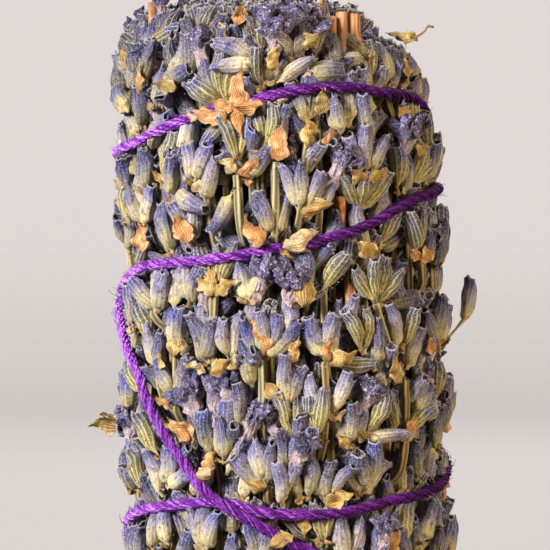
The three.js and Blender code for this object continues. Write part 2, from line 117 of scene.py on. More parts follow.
bend = np.linspace(0, math.pi / 2, SWEEP_BENDS)
sweep_side = [(0.0, 0.0), (SWEEP_FLAT, 0.0)]
sweep_side += [(SWEEP_FLAT + SWEEP_CURVE * math.sin(a), SWEEP_CURVE * (1 - math.cos(a))) for a in bend[1:]]
sweep_side.append((SWEEP_FLAT + SWEEP_CURVE, SWEEP_TOP))
turns = np.linspace(0, 2 * math.pi, SWEEP_TURNS + 1)[:-1]
sweep_points = [(r * math.cos(t), r * math.sin(t), z) for r, z in sweep_side for t in turns]
sweep_faces = []
for low_ring in range(0, (len(sweep_side) - 1) * SWEEP_TURNS, SWEEP_TURNS):
    for here in range(SWEEP_TURNS):
        beside = (here + 1) % SWEEP_TURNS
        high_ring = low_ring + SWEEP_TURNS
        sweep_faces.append((low_ring + here, low_ring + beside, high_ring + beside, high_ring + here))
sweep_mesh = bpy.data.meshes.new("paper_sweep")
sweep_mesh.from_pydata(sweep_points, [], sweep_faces)
sweep_mesh.materials.append(paper)
for face in sweep_mesh.polygons:
    face.use_smooth = True
sweep = bpy.data.objects.new("paper_sweep", sweep_mesh)
sweep.visible_diffuse = False
sweep.visible_glossy = False
bpy.context.scene.collection.objects.link(sweep)


def soft_lamp(name, place, aim, side, power, colour):
    """A round lamp behind thin cloth, its power in watts."""
    lamp = bpy.data.lights.new(name, "AREA")
    lamp.shape = "DISK"
    lamp.size = side
    lamp.energy = power
    lamp.color = dye(*colour)[:3]
    stand = bpy.data.objects.new(name, lamp)
    stand.location = place
    stand.rotation_euler = (Vector(aim) - Vector(place)).to_track_quat("-Z", "Y").to_euler()
    bpy.context.scene.collection.objects.link(stand)


soft_lamp("window_side", (-0.62, -0.62, 0.38), (0, 0, 0.06), 0.30, 20.5, (253, 249, 248))
soft_lamp("right_fill", (0.75, -0.45, 0.20), (0, 0, 0.05), 0.50, 8.1, (255, 229, 190))
soft_lamp("back_glow", (0.10, 0.80, 0.55), (0, 0, 0.06), 0.60, 4.0, (250, 250, 255))
room = bpy.data.worlds.new("room")
room.use_nodes = True
room_light = room.node_tree.nodes["Background"].inputs
room_light["Color"].default_value = dye(232, 220, 206)
room_light["Strength"].default_value = 0.12
bpy.context.scene.world = room
bpy.context.scene.view_settings.view_transform = "Standard"

camera = bpy.data.objects.new("camera", bpy.data.cameras.new("camera"))
camera.data.sensor_width = SENSOR
camera.data.lens = SENSOR * CAMERA_DISTANCE / (PHOTO_SIDE / PIXELS_PER_MM)
camera.location = (CAMERA_LEFT / 1000, -CAMERA_DISTANCE / 1000, CAMERA_HEIGHT / 1000)
camera.rotation_euler = (math.pi / 2, 0, 0)
camera.data.clip_start = 0.05
camera.data.clip_end = 20
bpy.context.scene.collection.objects.link(camera)
bpy.context.scene.camera = camera


# Wrapping string ----------------------------------------------------------------------------------
# One length of purple embroidery cotton, many fine strands loosely twisted, is knotted behind the foot.
# It climbs round the bundle, turns near the top and comes down across its own turns. Its left side is painted
# lighter and its right side darker, as painted light from the left.
BUNDLE_RADIUS = 20.7
SHOULDER_HEIGHT = 84
DOME_HEIGHT = 18.5
STRING_WIDTH = 1.3
SUNK_IN_STEMS = 2.56
SUNK_IN_FLOWERS = 1.65
STRING_STEP = 0.46
PLIES = 14
PLY_SIDES = 5
PLY_TWIST = 5.6
STRAY_FIBRES = 2400
STRING_PRESS = 1.2
STRING_PRESS_REACH = 2.7
# The string's route as degrees round from the front, positive to the right, and height.
STRING_CLIMB = [
    (-180, 7.6), (-90, 7.6), (0, 7.8), (90, 8.1), (160, 9.0), (185, 11.0), (208, 15.0), (234, 21.5),
    (256, 29.2), (273, 34.6), (293, 37.0), (312, 38.0), (328, 38.7), (338, 38.6), (347, 38.0), (357, 37.5),
    (371, 37.4), (382, 37.8), (394, 38.5), (405, 39.0), (420, 39.5), (436, 40.6), (470, 44.5), (510, 51.0),
    (545, 56.2), (590, 60.6), (633, 63.5), (643, 64.5), (653, 65.8), (662, 66.6), (670, 66.9), (691, 67.3),
    (704, 67.8), (715, 68.5), (727, 69.1), (737, 70.0), (746, 70.8), (754, 71.8), (762, 73.0), (770, 74.1),
    (780, 75.0), (800, 76.0), (820, 76.6), (870, 78.0), (930, 79.2), (980, 80.2), (1018, 81.5), (1030, 82.5),
    (1039, 83.3), (1047, 84.1), (1054, 84.7), (1066, 85.5), (1078, 86.6), (1085, 87.1), (1092, 87.5),
    (1106, 87.8), (1121, 87.4), (1141, 87.1), (1160, 85.9), (1190, 82.4)]
STRING_DESCENT = [
    (1184, 83.2), (1210, 79.6), (1260, 73.2), (1310, 66.0), (1335, 62.4), (1352, 59.4), (1366, 56.2),
    (1376, 53.5), (1382, 50.6), (1388, 48.2), (1393, 46.2), (1399, 44.2), (1404, 42.4), (1409, 40.8),
    (1415, 39.3), (1423, 37.7), (1431, 36.1), (1439, 34.5), (1447, 33.2), (1458, 31.4), (1480, 27.4),
    (1510, 22.6), (1550, 16.8), (1585, 12.2), (1605, 10.2), (1620, 9.4)]
STRING_TAILS = [
    [(176, 8.2), (170, 6.6), (166, 4.6), (165, 2.6)], [(184, 8.0), (191, 6.2), (194, 4.4), (193, 2.0)]]
KNOT_HEIGHT = 8.6
MM_PER_DEGREE = math.radians(1) * BUNDLE_RADIUS

foot = np.array([v.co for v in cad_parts["inner_spike_09"].data.vertices]) * 1000
AXIS_X, AXIS_Y = foot[foot[:, 2] < 0.01][:, :2].mean(axis=0)


def smooth(value, low, high):
    """0 below the low limit and 1 above the high one, with a soft step between."""
    share = np.clip((np.asarray(value, float) - low) / (high - low), 0, 1)
    return share * share * (3 - 2 * share)


def outline(height):
    """The bundle's radius at a height: drawn in at the foot tie, rounded over at the top."""
    rise = np.clip((height - SHOULDER_HEIGHT) / DOME_HEIGHT, 0, 1)
    drawn_in = 3.2 * np.exp(-(((height - 7) / 8) ** 2))
    return (BUNDLE_RADIUS - drawn_in) * np.sqrt(np.maximum(1 - rise ** 3, 0.02))


def sideways_shift(x, height):
    """How far the bundle's slight lean, and its drawn-in right side near the top, shift a place sideways."""
    lean = 0.8 * np.sin(2 * math.pi * np.asarray(height) / 134)
    return lean - 1.7 * smooth(height, 76, 90) * np.maximum(x, 0) / BUNDLE_RADIUS


def on_bundle(angle, height, radius):
    """A point at an angle in degrees from the front, positive to the right, and a distance from the axis."""
    turn = np.radians(angle)
    x = radius * np.sin(turn)
    x = x + sideways_shift(x, height) + AXIS_X
    return np.stack(np.broadcast_arrays(x, AXIS_Y - radius * np.cos(turn), height), axis=-1)


def run_along(line):
    """The length of a line from its start to each of its points."""
    return np.concatenate([[0], np.cumsum(np.linalg.norm(np.diff(line, axis=0), axis=1))])


def evenly(points, step):
    """A smooth line through given points, as points a step apart."""
    points = np.array(points, float)
    ends = np.vstack([2 * points[0] - points[1], points, 2 * points[-1] - points[-2]])
    t = np.linspace(0, 1, 24, endpoint=False)[:, None]
    fine = [0.5 * (2 * b + (c - a) * t + (2 * a - 5 * b + 4 * c - d) * t ** 2
                   + (3 * b - a - 3 * c + d) * t ** 3)
            for a, b, c, d in zip(ends, ends[1:], ends[2:], ends[3:])]
    fine = np.vstack([*fine, points[-1:]])
    run = run_along(fine)
    at = np.linspace(0, run[-1], max(2, round(run[-1] / step) + 1))
    return np.stack([np.interp(at, run, fine[:, k]) for k in range(fine.shape[1])], axis=1)


def string_route(stretch):
    """A stretch of string, given as angles and heights, smoothed and cut into even steps."""
    flat = evenly([(angle * MM_PER_DEGREE, height) for angle, height in stretch], STRING_STEP)
    return flat[:, 0] / MM_PER_DEGREE, flat[:, 1]


def off_route(angle, height, route):
    """Distance over the bundle's surface to the nearest point of a route."""
    turn = (np.asarray(angle)[:, None] - route[0][None] + 180) % 360 - 180
    rise = np.asarray(height)[:, None] - route[1][None]
    return np.sqrt((turn * MM_PER_DEGREE) ** 2 + rise ** 2).min(axis=1)


def resting_radius(height):
    """How far from the axis the string's middle line lies at a height."""
    on_flowers = smooth(height, 9, 15)
    sunk = SUNK_IN_STEMS * (1 - on_flowers) + SUNK_IN_FLOWERS * on_flowers
    return outline(height) - sunk + STRING_WIDTH / 2


climb = string_route(STRING_CLIMB)
descent = string_route(STRING_DESCENT)
whole_route = tuple(np.concatenate([up[::6], down[::6]]) for up, down in zip(climb, descent))
string_climb = on_bundle(*climb, resting_radius(climb[1]))
crossing = 0.85 * STRING_WIDTH * np.exp(-((off_route(*descent, climb) / (2.2 * STRING_WIDTH)) ** 2))
crossing *= smooth(np.arange(len(descent[0])), 16, 80)
string_descent = on_bundle(*descent, resting_radius(descent[1]) + crossing)
string_tails = [on_bundle(*route, resting_radius(route[1])) for route in map(string_route, STRING_TAILS)]
knot_turn = np.linspace(0, 2 * math.pi, 120)
knot_line = on_bundle(180, KNOT_HEIGHT, resting_radius(KNOT_HEIGHT) + 0.4) + np.stack([
    0.42 * (np.sin(knot_turn) + 2 * np.sin(2 * knot_turn)),
    0.38 * np.sin(3 * knot_turn),
    0.36 * (np.cos(knot_turn) - 2 * np.cos(2 * knot_turn))], axis=1)


def outward_of(line):
    """At each point of a line, the way out from the bundle's axis, square to the line itself."""
    run = np.gradient(line, axis=0)
    run /= np.linalg.norm(run, axis=1, keepdims=True) + 1e-9
    out = line - np.array([AXIS_X, AXIS_Y, 0])
    out[:, 2] = 0
    out -= (out * run).sum(axis=1, keepdims=True) * run
    out /= np.linalg.norm(out, axis=1, keepdims=True) + 1e-9
    return out, np.cross(run, out)


def tube_faces(rings, sides):
    """Four-sided faces between rings of points, and the two fans that close the ends."""
    here = np.arange(sides)
    beside = (here + 1) % sides
    low = np.arange(rings - 1)[:, None] * sides
    high = low + sides
    quads = np.stack([low + here, low + beside, high + beside, high + here], axis=-1).reshape(-1, 4)
    start, end = np.full(sides, rings * sides), np.full(sides, rings * sides + 1)
    first = np.stack([start, beside, here], axis=1)
    last = np.stack([end, high[-1] + here, high[-1] + beside], axis=1)
    return quads, np.vstack([first, last])


def piece_of(name, parts, finish, node_name):
    """Joins meshed parts into one piece. A part is its points in mm, quads, triangles and marks."""
    points = np.vstack([part[0] for part in parts])
    starts = np.cumsum([0] + [len(part[0]) for part in parts[:-1]])
    quads = np.vstack([part[1] + at for part, at in zip(parts, starts)]).astype(int)
    tris = np.vstack([part[2] + at for part, at in zip(parts, starts)])
    mesh = bpy.data.meshes.new(name)
    mesh.vertices.add(len(points))
    mesh.vertices.foreach_set("co", (points * 0.001).astype(np.float32).ravel())
    mesh.loops.add(quads.size + tris.size)
    mesh.loops.foreach_set("vertex_index", np.concatenate([quads.ravel(), tris.ravel()]).astype(np.int32))
    mesh.polygons.add(len(quads) + len(tris))
    corners = np.concatenate([np.arange(len(quads)) * 4, quads.size + np.arange(len(tris)) * 3])
    mesh.polygons.foreach_set("loop_start", corners.astype(np.int32))
    mesh.polygons.foreach_set("use_smooth", np.ones(len(corners), bool))
    for mark in sorted({m for part in parts for m in part[3]}):
        values = [np.broadcast_to(part[3].get(mark, 0.0), len(part[0])) for part in parts]
        mesh.attributes.new(mark, "FLOAT", "POINT").data.foreach_set(
            "value", np.concatenate(values).astype(np.float32))
    mesh.materials.append(finish)
    mesh.update(calc_edges=True)
    mesh.validate()
    piece = bpy.data.objects.new(name, mesh)
    bpy.context.scene.collection.objects.link(piece)
    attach(piece, "root")
    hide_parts(node_name)


def rings_round(line, reach, turn, out, side):
    """Rings of points round a line, each by its reach and its turn from the way out."""
    return line[:, None] + reach[..., None] * (np.cos(turn)[..., None] * out[:, None]
                                               + np.sin(turn)[..., None] * side[:, None])


def closed_tube(line, rings, marks):
    """A part made of rings round a line, closed at its ends and kept above the floor."""
    rings[..., 2] = np.maximum(rings[..., 2], 0)
    points = np.vstack([rings.reshape(-1, 3), line[:1], line[-1:]])
    return points, *tube_faces(len(line), rings.shape[1]), marks


def strand_along(centre, thick, out, side, sides, run, turn, tint):
    """A closed strand round a line of centres."""
    around = np.linspace(0, 2 * math.pi, sides, endpoint=False)[None]
    rings = rings_round(centre, np.broadcast_to(thick, len(centre))[:, None], around, out, side)
    marks = {"run": np.concatenate([np.repeat(run, sides), run[[0, -1]]]), "tint": tint,
             "round": np.concatenate([((around - turn[:, None]) / (2 * math.pi)).ravel(), [0, 0]])}
    return closed_tube(centre, rings, marks)


def twisted(line, seed):
    """The fine strands of a length of cotton that follows a line, twisted loosely round its core."""
    draw = np.random.default_rng(seed)
    out, side = outward_of(line)
    run = run_along(line)
    parts = [strand_along(line, 0.33 * STRING_WIDTH, out, side, 8, run, 0 * run, 0.0)]
    for ply in range(PLIES):
        start = draw.uniform(0, 6, 4)
        turn = 2 * math.pi * (run / PLY_TWIST + ply / PLIES) + 0.5 * np.sin(run / 5.7 + start[0])
        reach = (0.37 * STRING_WIDTH + 0.06 * np.sin(run / 2.1 + start[1])
                 + 0.05 * np.sin(run / 0.7 + start[2]))
        thick = 0.115 * STRING_WIDTH * (1 + 0.25 * np.sin(run / 1.2 + start[3]))
        centre = line + reach[:, None] * (np.cos(turn)[:, None] * out + np.sin(turn)[:, None] * side)
        tint = draw.uniform(0.15, 1)
        parts.append(strand_along(centre, thick, out, side, PLY_SIDES, run + 7.7 * ply, turn, tint))
    return parts


def stray_fibres(line, count, seed):
    """Hair-thin fibres that stand off a length of cotton."""
    draw = np.random.default_rng(seed)
    out, side = outward_of(line)
    parts = []
    for k in draw.integers(4, len(line) - 12, count):
        around = draw.uniform(-1.9, 1.9)
        away = math.cos(around) * out[k] + math.sin(around) * side[k]
        forward = (line[k + 1] - line[k]) * draw.choice([-1, 1])
        forward = forward / np.linalg.norm(forward) + draw.normal(0, 0.22, 3)
        t = np.linspace(0, 1, 6)[:, None]
        reach = draw.uniform(0.5, 2.0)
        lift = draw.uniform(0.16, 0.32) if draw.uniform() < 0.18 else draw.uniform(0.02, 0.12)
        arch = np.sin(t * math.pi * draw.uniform(0.5, 1.0)) * lift
        fibre = line[k] + 0.58 * away + t * reach * forward + away * arch
        run = t.ravel() + draw.uniform(0, 60)
        tint = draw.uniform(0.2, 1.0)
        thick = draw.uniform(0.02, 0.04)
        parts.append(strand_along(fibre, thick, out[k:k + 6], side[k:k + 6], 3, run, 0 * run, tint))
    return parts


def marked(name):
    """The value that the piece's mesh carries under a name."""
    return node("Attribute", attribute_name=name).outputs["Fac"]


def ramp(value, *stops):
    """A colour that follows a value. Each stop is a place from 0 to 1 and the colour there."""
    band = node("ValToRGB", {"Fac": value})
    elements = band.color_ramp.elements
    for number, (at, colour) in enumerate(stops):
        stop = elements[number] if number < 2 else elements.new(at)
        stop.position = at
        stop.color = dye(*colour)
    return band.outputs[0]


def relief(height, strength, depth):
    """Unevenness too fine to be meshed, that deep in metres."""
    return node("Bump", {"Strength": strength, "Distance": depth, "Height": height}).outputs[0]


cotton, tree = new_finish("purple cotton")
along_ply, round_ply, ply_tint = (marked(name) for name in ("run", "round", "tint"))
lay = node("CombineXYZ", {"X": reckon("MULTIPLY", round_ply, 9.0), "Y": reckon("MULTIPLY", along_ply, 2.4)})
fibres = node("TexNoise", {"Vector": lay.outputs[0], "Scale": 1.0, "Detail": 4.0, "Roughness": 0.65})
fibres = fibres.outputs[0]
# Each strand's own tone, with painted highlight and painted shade in stripes along its fibres; the same
# pattern raises the fibres' relief.
wavy = reckon("MULTIPLY_ADD", along_ply, 11.0, reckon("MULTIPLY", fibres, 5.0))
spun = reckon("SINE", reckon("MULTIPLY_ADD", round_ply, 4 * math.pi, wavy))
strand_tone_and_painted_light = reckon("MULTIPLY_ADD", spun, 0.13, reckon("MULTIPLY_ADD", ply_tint, 0.34, fibres))
# The cotton is made lighter at the left of the bundle and darker at the right: painted light and shade from
# the lamp at the left.
across_bundle = node("SeparateXYZ", {"Vector": node("TexCoord").outputs["Object"]}).outputs["X"]
painted_side_light = between(across_bundle, -0.019, 0.016, 0.17, -0.25)
cotton_tone = ramp(reckon("ADD", strand_tone_and_painted_light, painted_side_light), (0.42, (42, 0, 60)), (0.64, (104, 12, 142)),
                   (0.82, (162, 68, 208)), (0.98, (222, 160, 252)))
cotton_body = node("BsdfPrincipled", {
    "Base Color": cotton_tone, "Roughness": 0.50, "Normal": relief(strand_tone_and_painted_light, 1.0, 0.00016),
    "Sheen Weight": 0.08, "Sheen Roughness": 0.35, "Sheen Tint": dye(220, 150, 255)})
cotton_body.inputs["Specular IOR Level"].default_value = 0.2
shade_from(cotton_body)

string_parts = twisted(string_climb, 1) + twisted(string_descent, 2) + twisted(knot_line, 3)
for seed, tail in enumerate(string_tails):
    string_parts += twisted(tail, 4 + seed)
string_parts += stray_fibres(string_climb, 3 * STRAY_FIBRES // 4, 8)
string_parts += stray_fibres(string_descent, STRAY_FIBRES // 4, 9)
piece_of("cotton_string", string_parts, cotton, "wrapping_string")


# Stems of the flower spikes -----------------------------------------------------------------------
# Each spike grows on a square, furrowed stem, dried grey green. Sixteen spikes lie at the surface with two
# more behind each, nine groups fill the middle, and at the foot cut stems are packed tight under the tie.
OUTER_COUNT = 16
FIRST_LANE = -6
LANE_TURN = 360 / OUTER_COUNT
LANE_RADIUS = 17
# Hidden stems by their turn from the lane, or round the axis, their depth and, where it differs, their height.
PACKED_STEMS = [(-6.6, 2.6, 17), (-3.2, 2.5, 24), (3.2, 2.5, 21), (6.6, 2.6, 15), (-8.6, 4.2, 60),
                (0, 4.4, 40), (8.6, 4.2, 55), (-3, 5.6, 80), (3, 5.6, 70)]
MIDDLE_STEMS = [(-15, 8.2), (-5, 8.0), (5, 8.2), (15, 8.0), (-16, 10.0), (-6, 10.2), (6, 9.8), (16, 10.2),
                (-14, 12.0), (-2, 12.2), (11, 12.2)]
CORE_STEMS = [(0, 13.9), (60, 14.1), (120, 13.9), (180, 14.0), (240, 14.1), (300, 13.9), (30, 15.6),
              (150, 15.8), (270, 15.7), (0, 18.5)]
FRONT_REACH = 75
PHOTO_FOOT = 30
STEM_WIDTH = 1.05
STEM_SEED = 11
# Bare lengths of stem between the whorls, as pixels of the photograph.
PHOTO_STEMS = [
    [(275, 162), (275, 215), (272, 275)], [(262, 360), (263, 400), (262, 442)],
    [(214, 291), (213, 330), (211, 388)], [(237, 172), (239, 210), (241, 250)],
    [(307, 144), (304, 168), (301, 212), (299, 232)], [(325, 362), (326, 410), (322, 462)],
    [(283, 352), (284, 380), (286, 402)], [(376, 304), (385, 335), (396, 366), (402, 374)],
    [(405, 380), (405, 430), (401, 490)], [(421, 257), (422, 280), (423, 303)],
    [(437, 345), (437, 370), (437, 402)], [(157, 368), (157, 390), (160, 414)],
    [(176, 352), (176, 385), (174, 430)], [(154, 308), (155, 318), (157, 332)],
    [(268, 486), (266, 500), (268, 512)], [(187, 8), (187, 25), (188, 42)]]


def pressed_in(angle, height):
    """How far the tight string presses the flowers in at a place on the bundle."""
    near = off_route(np.atleast_1d(angle), np.atleast_1d(height), whole_route)
    return STRING_PRESS * np.exp(-((near / STRING_PRESS_REACH) ** 2))


def in_bundle(angle, height, depth):
    """Points of the bundle by angle, height and depth below the surface, where the string has pressed them."""
    angle, height, depth = np.broadcast_arrays(
        *[np.atleast_1d(np.asarray(v, float)) for v in (angle, height, depth)])
    settled = smooth(height, 8, 16) * np.clip((7.4 - depth) / 4.4, 0, 1)
    radius = outline(height) - depth - settled * pressed_in(angle, height)
    return on_bundle(angle, height, np.maximum(radius, 0.05))


def seen_at(across, up, depth=1.0):
    """The angle and height of the place that the photograph shows at a pixel, that deep in the bundle."""
    slope = (across - PHOTO_SIDE / 2) / PIXELS_PER_MM / CAMERA_DISTANCE
    climb_rate = (PHOTO_SIDE / 2 - up) / PIXELS_PER_MM / CAMERA_DISTANCE
    reach = CAMERA_DISTANCE - BUNDLE_RADIUS
    turn = 0
    for _ in range(8):
        height = CAMERA_HEIGHT + climb_rate * reach
        radius = float(outline(height)) - depth
        shift = float(sideways_shift(radius * math.sin(turn), height))
        sideways = CAMERA_LEFT + slope * reach - AXIS_X - shift
        turn = math.asin(min(max(sideways / radius, -0.996), 0.996))
        reach = CAMERA_DISTANCE + AXIS_Y - radius * math.cos(turn)
    return math.degrees(turn), height


def low_side(x, y):
    """How much lower the flowers end at a place: they slope down to the right, and before the woody stems."""
    before_wood = np.exp(-((np.asarray(x) - 8.2) / 2.8) ** 2) * smooth(-np.asarray(y), 9, 13)
    return 4.0 * smooth(x, 5, 14) + 3.2 * before_wood


def lane_name(angle):
    """The outer spike that stands nearest to an angle."""
    return f"outer_spike_{round((angle - FIRST_LANE) / LANE_TURN) % OUTER_COUNT + 1:02d}"


def stem_line(angle, depth, top, draw, step=1.3):
    """The middle line of a stem that stands in the bundle, with the slight bends that it dried in."""
    turn = math.radians(angle)
    top = top - low_side(LANE_RADIUS * math.sin(turn), -LANE_RADIUS * math.cos(turn)) * smooth(top, 76, 91)
    height = np.linspace(0, top, max(4, int(top / step)))
    wander = draw.uniform(0.5, 1.6) * np.sin(height / draw.uniform(7, 13) + draw.uniform(0, 6))
    sway = draw.uniform(0.05, 0.25) * np.sin(height / draw.uniform(5, 11) + draw.uniform(0, 6))
    shoulder = outline(np.minimum(height, SHOULDER_HEIGHT)) - outline(height)
    depth = np.maximum(depth + sway * smooth(height, 6, 24) - shoulder, 0.8)
    return in_bundle(angle + wander * smooth(height, 6, 24), height, depth)


def square_stem(line, width, sides, draw):
    """A square stem with a furrow down each face."""
    out, side = outward_of(line)
    around = np.linspace(0, 2 * math.pi, sides, endpoint=False)
    twist = draw.uniform(0, 1.5) + np.linspace(0, draw.uniform(-0.8, 0.8), len(line))
    ridge = -np.cos(4 * around)
    swell = 1 + 0.06 * np.sin(np.arange(len(line)) * draw.uniform(0.7, 1.1) + draw.uniform(0, 6))
    reach = 0.5 * width * swell[:, None] * (0.95 + 0.15 * ridge[None])
    rings = rings_round(line, reach, around[None] + twist[:, None], out, side)
    marks = {"rib": np.concatenate([np.tile(ridge, len(line)), [-0.2, -0.2]]), "tint": draw.uniform(),
             "cut": np.concatenate([np.zeros(len(line) * sides), [1, 1]])}
    return closed_tube(line, rings, marks)


def mottle(fineness, detail, stretch=None, **more):
    """An uneven pattern all through a piece, finer the higher its number. It may be drawn out lengthwise."""
    place = node("TexCoord").outputs["Object"]
    if stretch:
        place = node("Mapping", {"Vector": place, "Scale": stretch}).outputs[0]
    return node("TexNoise", {"Vector": place, "Scale": fineness, "Detail": detail, **more}).outputs[0]


dry_stem, tree = new_finish("dried green stem")
scurf = mottle(2600.0, 3.0)
# The furrows are painted dark as painted shade, and the ridges pale as painted highlight.
stem_tone = ramp(between(marked("rib"), -1.0, 1.0),
                 (0, (78, 68, 42)), (0.55, (152, 144, 104)), (1, (206, 198, 162)))
stem_tone = over(marked("tint"), stem_tone, dye(232, 200, 156), "MULTIPLY")
stem_tone = over(mottle(1.0, 3.0, stretch=(1500, 1500, 130)), stem_tone, dye(150, 146, 120), "OVERLAY")
stem_tone = over(between(scurf, 0.62, 0.78, 0.0, 0.7), stem_tone, dye(222, 216, 196))
stem_tone = over(marked("cut"), stem_tone, dye(226, 208, 160))
stem_body = node("BsdfPrincipled", {
    "Base Color": stem_tone, "Roughness": 0.72, "Normal": relief(scurf, 0.5, 0.00006),
    "Sheen Weight": 0.25, "Sheen Roughness": 0.5, "Sheen Tint": dye(235, 235, 225)})
shade_from(stem_body)


def from_front(angle):
    """How many degrees round from the front a place is, to either side."""
    return abs((angle + 180) % 360 - 180)


draw = np.random.default_rng(STEM_SEED)
spike_stems = {f"outer_spike_{lane + 1:02d}": [] for lane in range(OUTER_COUNT)}
surface_lines = []
back_lines = []
shown_lines = []
for lane in range(OUTER_COUNT):
    angle = FIRST_LANE + lane * LANE_TURN
    stems = spike_stems[f"outer_spike_{lane + 1:02d}"]
    faces_camera = from_front(angle) < FRONT_REACH
    surface = stem_line(angle, 3.3 if faces_camera else 2.1, 91.5, draw, step=1.0)
    surface_lines.append(surface)
    stems.append(square_stem(surface, STEM_WIDTH, 16, draw))
    for shift in (-5.6, 5.6):
        behind = stem_line(angle + shift, 4.6, 90, draw, step=2.0)
        stems.append(square_stem(behind, 0.95, 8, draw))
        back_lines.append(behind)
    for shift, depth, top in PACKED_STEMS:
        packed = stem_line(angle + shift + draw.uniform(-0.6, 0.6), depth + draw.uniform(-0.2, 0.2),
                           top * draw.uniform(0.75, 1.1), draw, step=2.4)
        stems.append(square_stem(packed, draw.uniform(0.8, 1.15), 8, draw))
for seen in PHOTO_STEMS:
    laid = evenly([seen_at(*pixel, 1.5) for pixel in seen], 0.8)
    dip = 1.5 + 1.6 * smooth(np.arange(len(laid))[::-1], 3, 0)
    line = in_bundle(laid[:, 0], laid[:, 1], dip)
    shown_lines.append(line)
    spike_stems[lane_name(laid[0, 0])].append(square_stem(line, 1.0, 16, draw))
WITHERED_TAIL = [
    [(15.9, -8.2, 94.3), (17.0, -8.2, 95.0), (17.5, -8.1, 95.7), (18.2, -8.0, 95.6)],
    [(14.8, -7.6, 90.2), (14.7, -8.1, 92.4), (15.0, -8.3, 94.6)]]
for points, width in zip(WITHERED_TAIL, (0.34, 0.10)):
    spike_stems["outer_spike_04"].append(square_stem(evenly(points, 0.3), width, 8, draw))
for name, stems in spike_stems.items():
    piece_of(f"{name}_stems", stems, dry_stem, name)

for group in range(9):
    name = f"inner_spike_{group + 1:02d}"
    stems = []
    round_core = [(45 * (group + 0.5) + shift, depth) for shift, depth in MIDDLE_STEMS]
    spots = CORE_STEMS if group == 8 else round_core
    for number, (angle, depth) in enumerate(spots):
        top = draw.uniform(84, 90) if number % 2 else draw.uniform(40, 86)
        radius_share = (BUNDLE_RADIUS - depth) / BUNDLE_RADIUS
        height = np.linspace(0, top, 40)
        line = on_bundle(angle + 3 * np.sin(height / 11 + number), height,
                         radius_share * np.minimum(outline(height), outline(min(88, top))))
        stems.append(square_stem(line, draw.uniform(0.95, 1.2), 8, draw))
    piece_of(f"{name}_stems", stems, dry_stem, name)


# Flower cups --------------------------------------------------------------------------------------
# The flower cups stand in whorls up each stem, ribbed little felted tubes with five small teeth round a hollow
# mouth painted near black as its shade, blue violet at the tip and paling to cream green. Pressed together,
# they have slid past each other.
CUP_LENGTH = 4.6
CUP_RADIUS = 0.99
CUP_RIBS = 11
WHORL_PITCH = 9.8
LOWEST_WHORL = 9.3
CUP_SEED = 23
RELAX_ROUNDS = 36
PAIRING_ROUNDS = 9
PUSH_REACH = 2.7
FOOT_HOLD = 0.30
TIP_HOLD = 0.04
BLOOM_RADIUS = 2.2
FULL, PLAIN, HIDDEN = 0, 1, 2
STRING_ROOM = 0.92
STEM_ROOM = 0.42
VIOLET, LILAC, CREAM, OLIVE = 0.2, 0.48, 0.64, 0.92
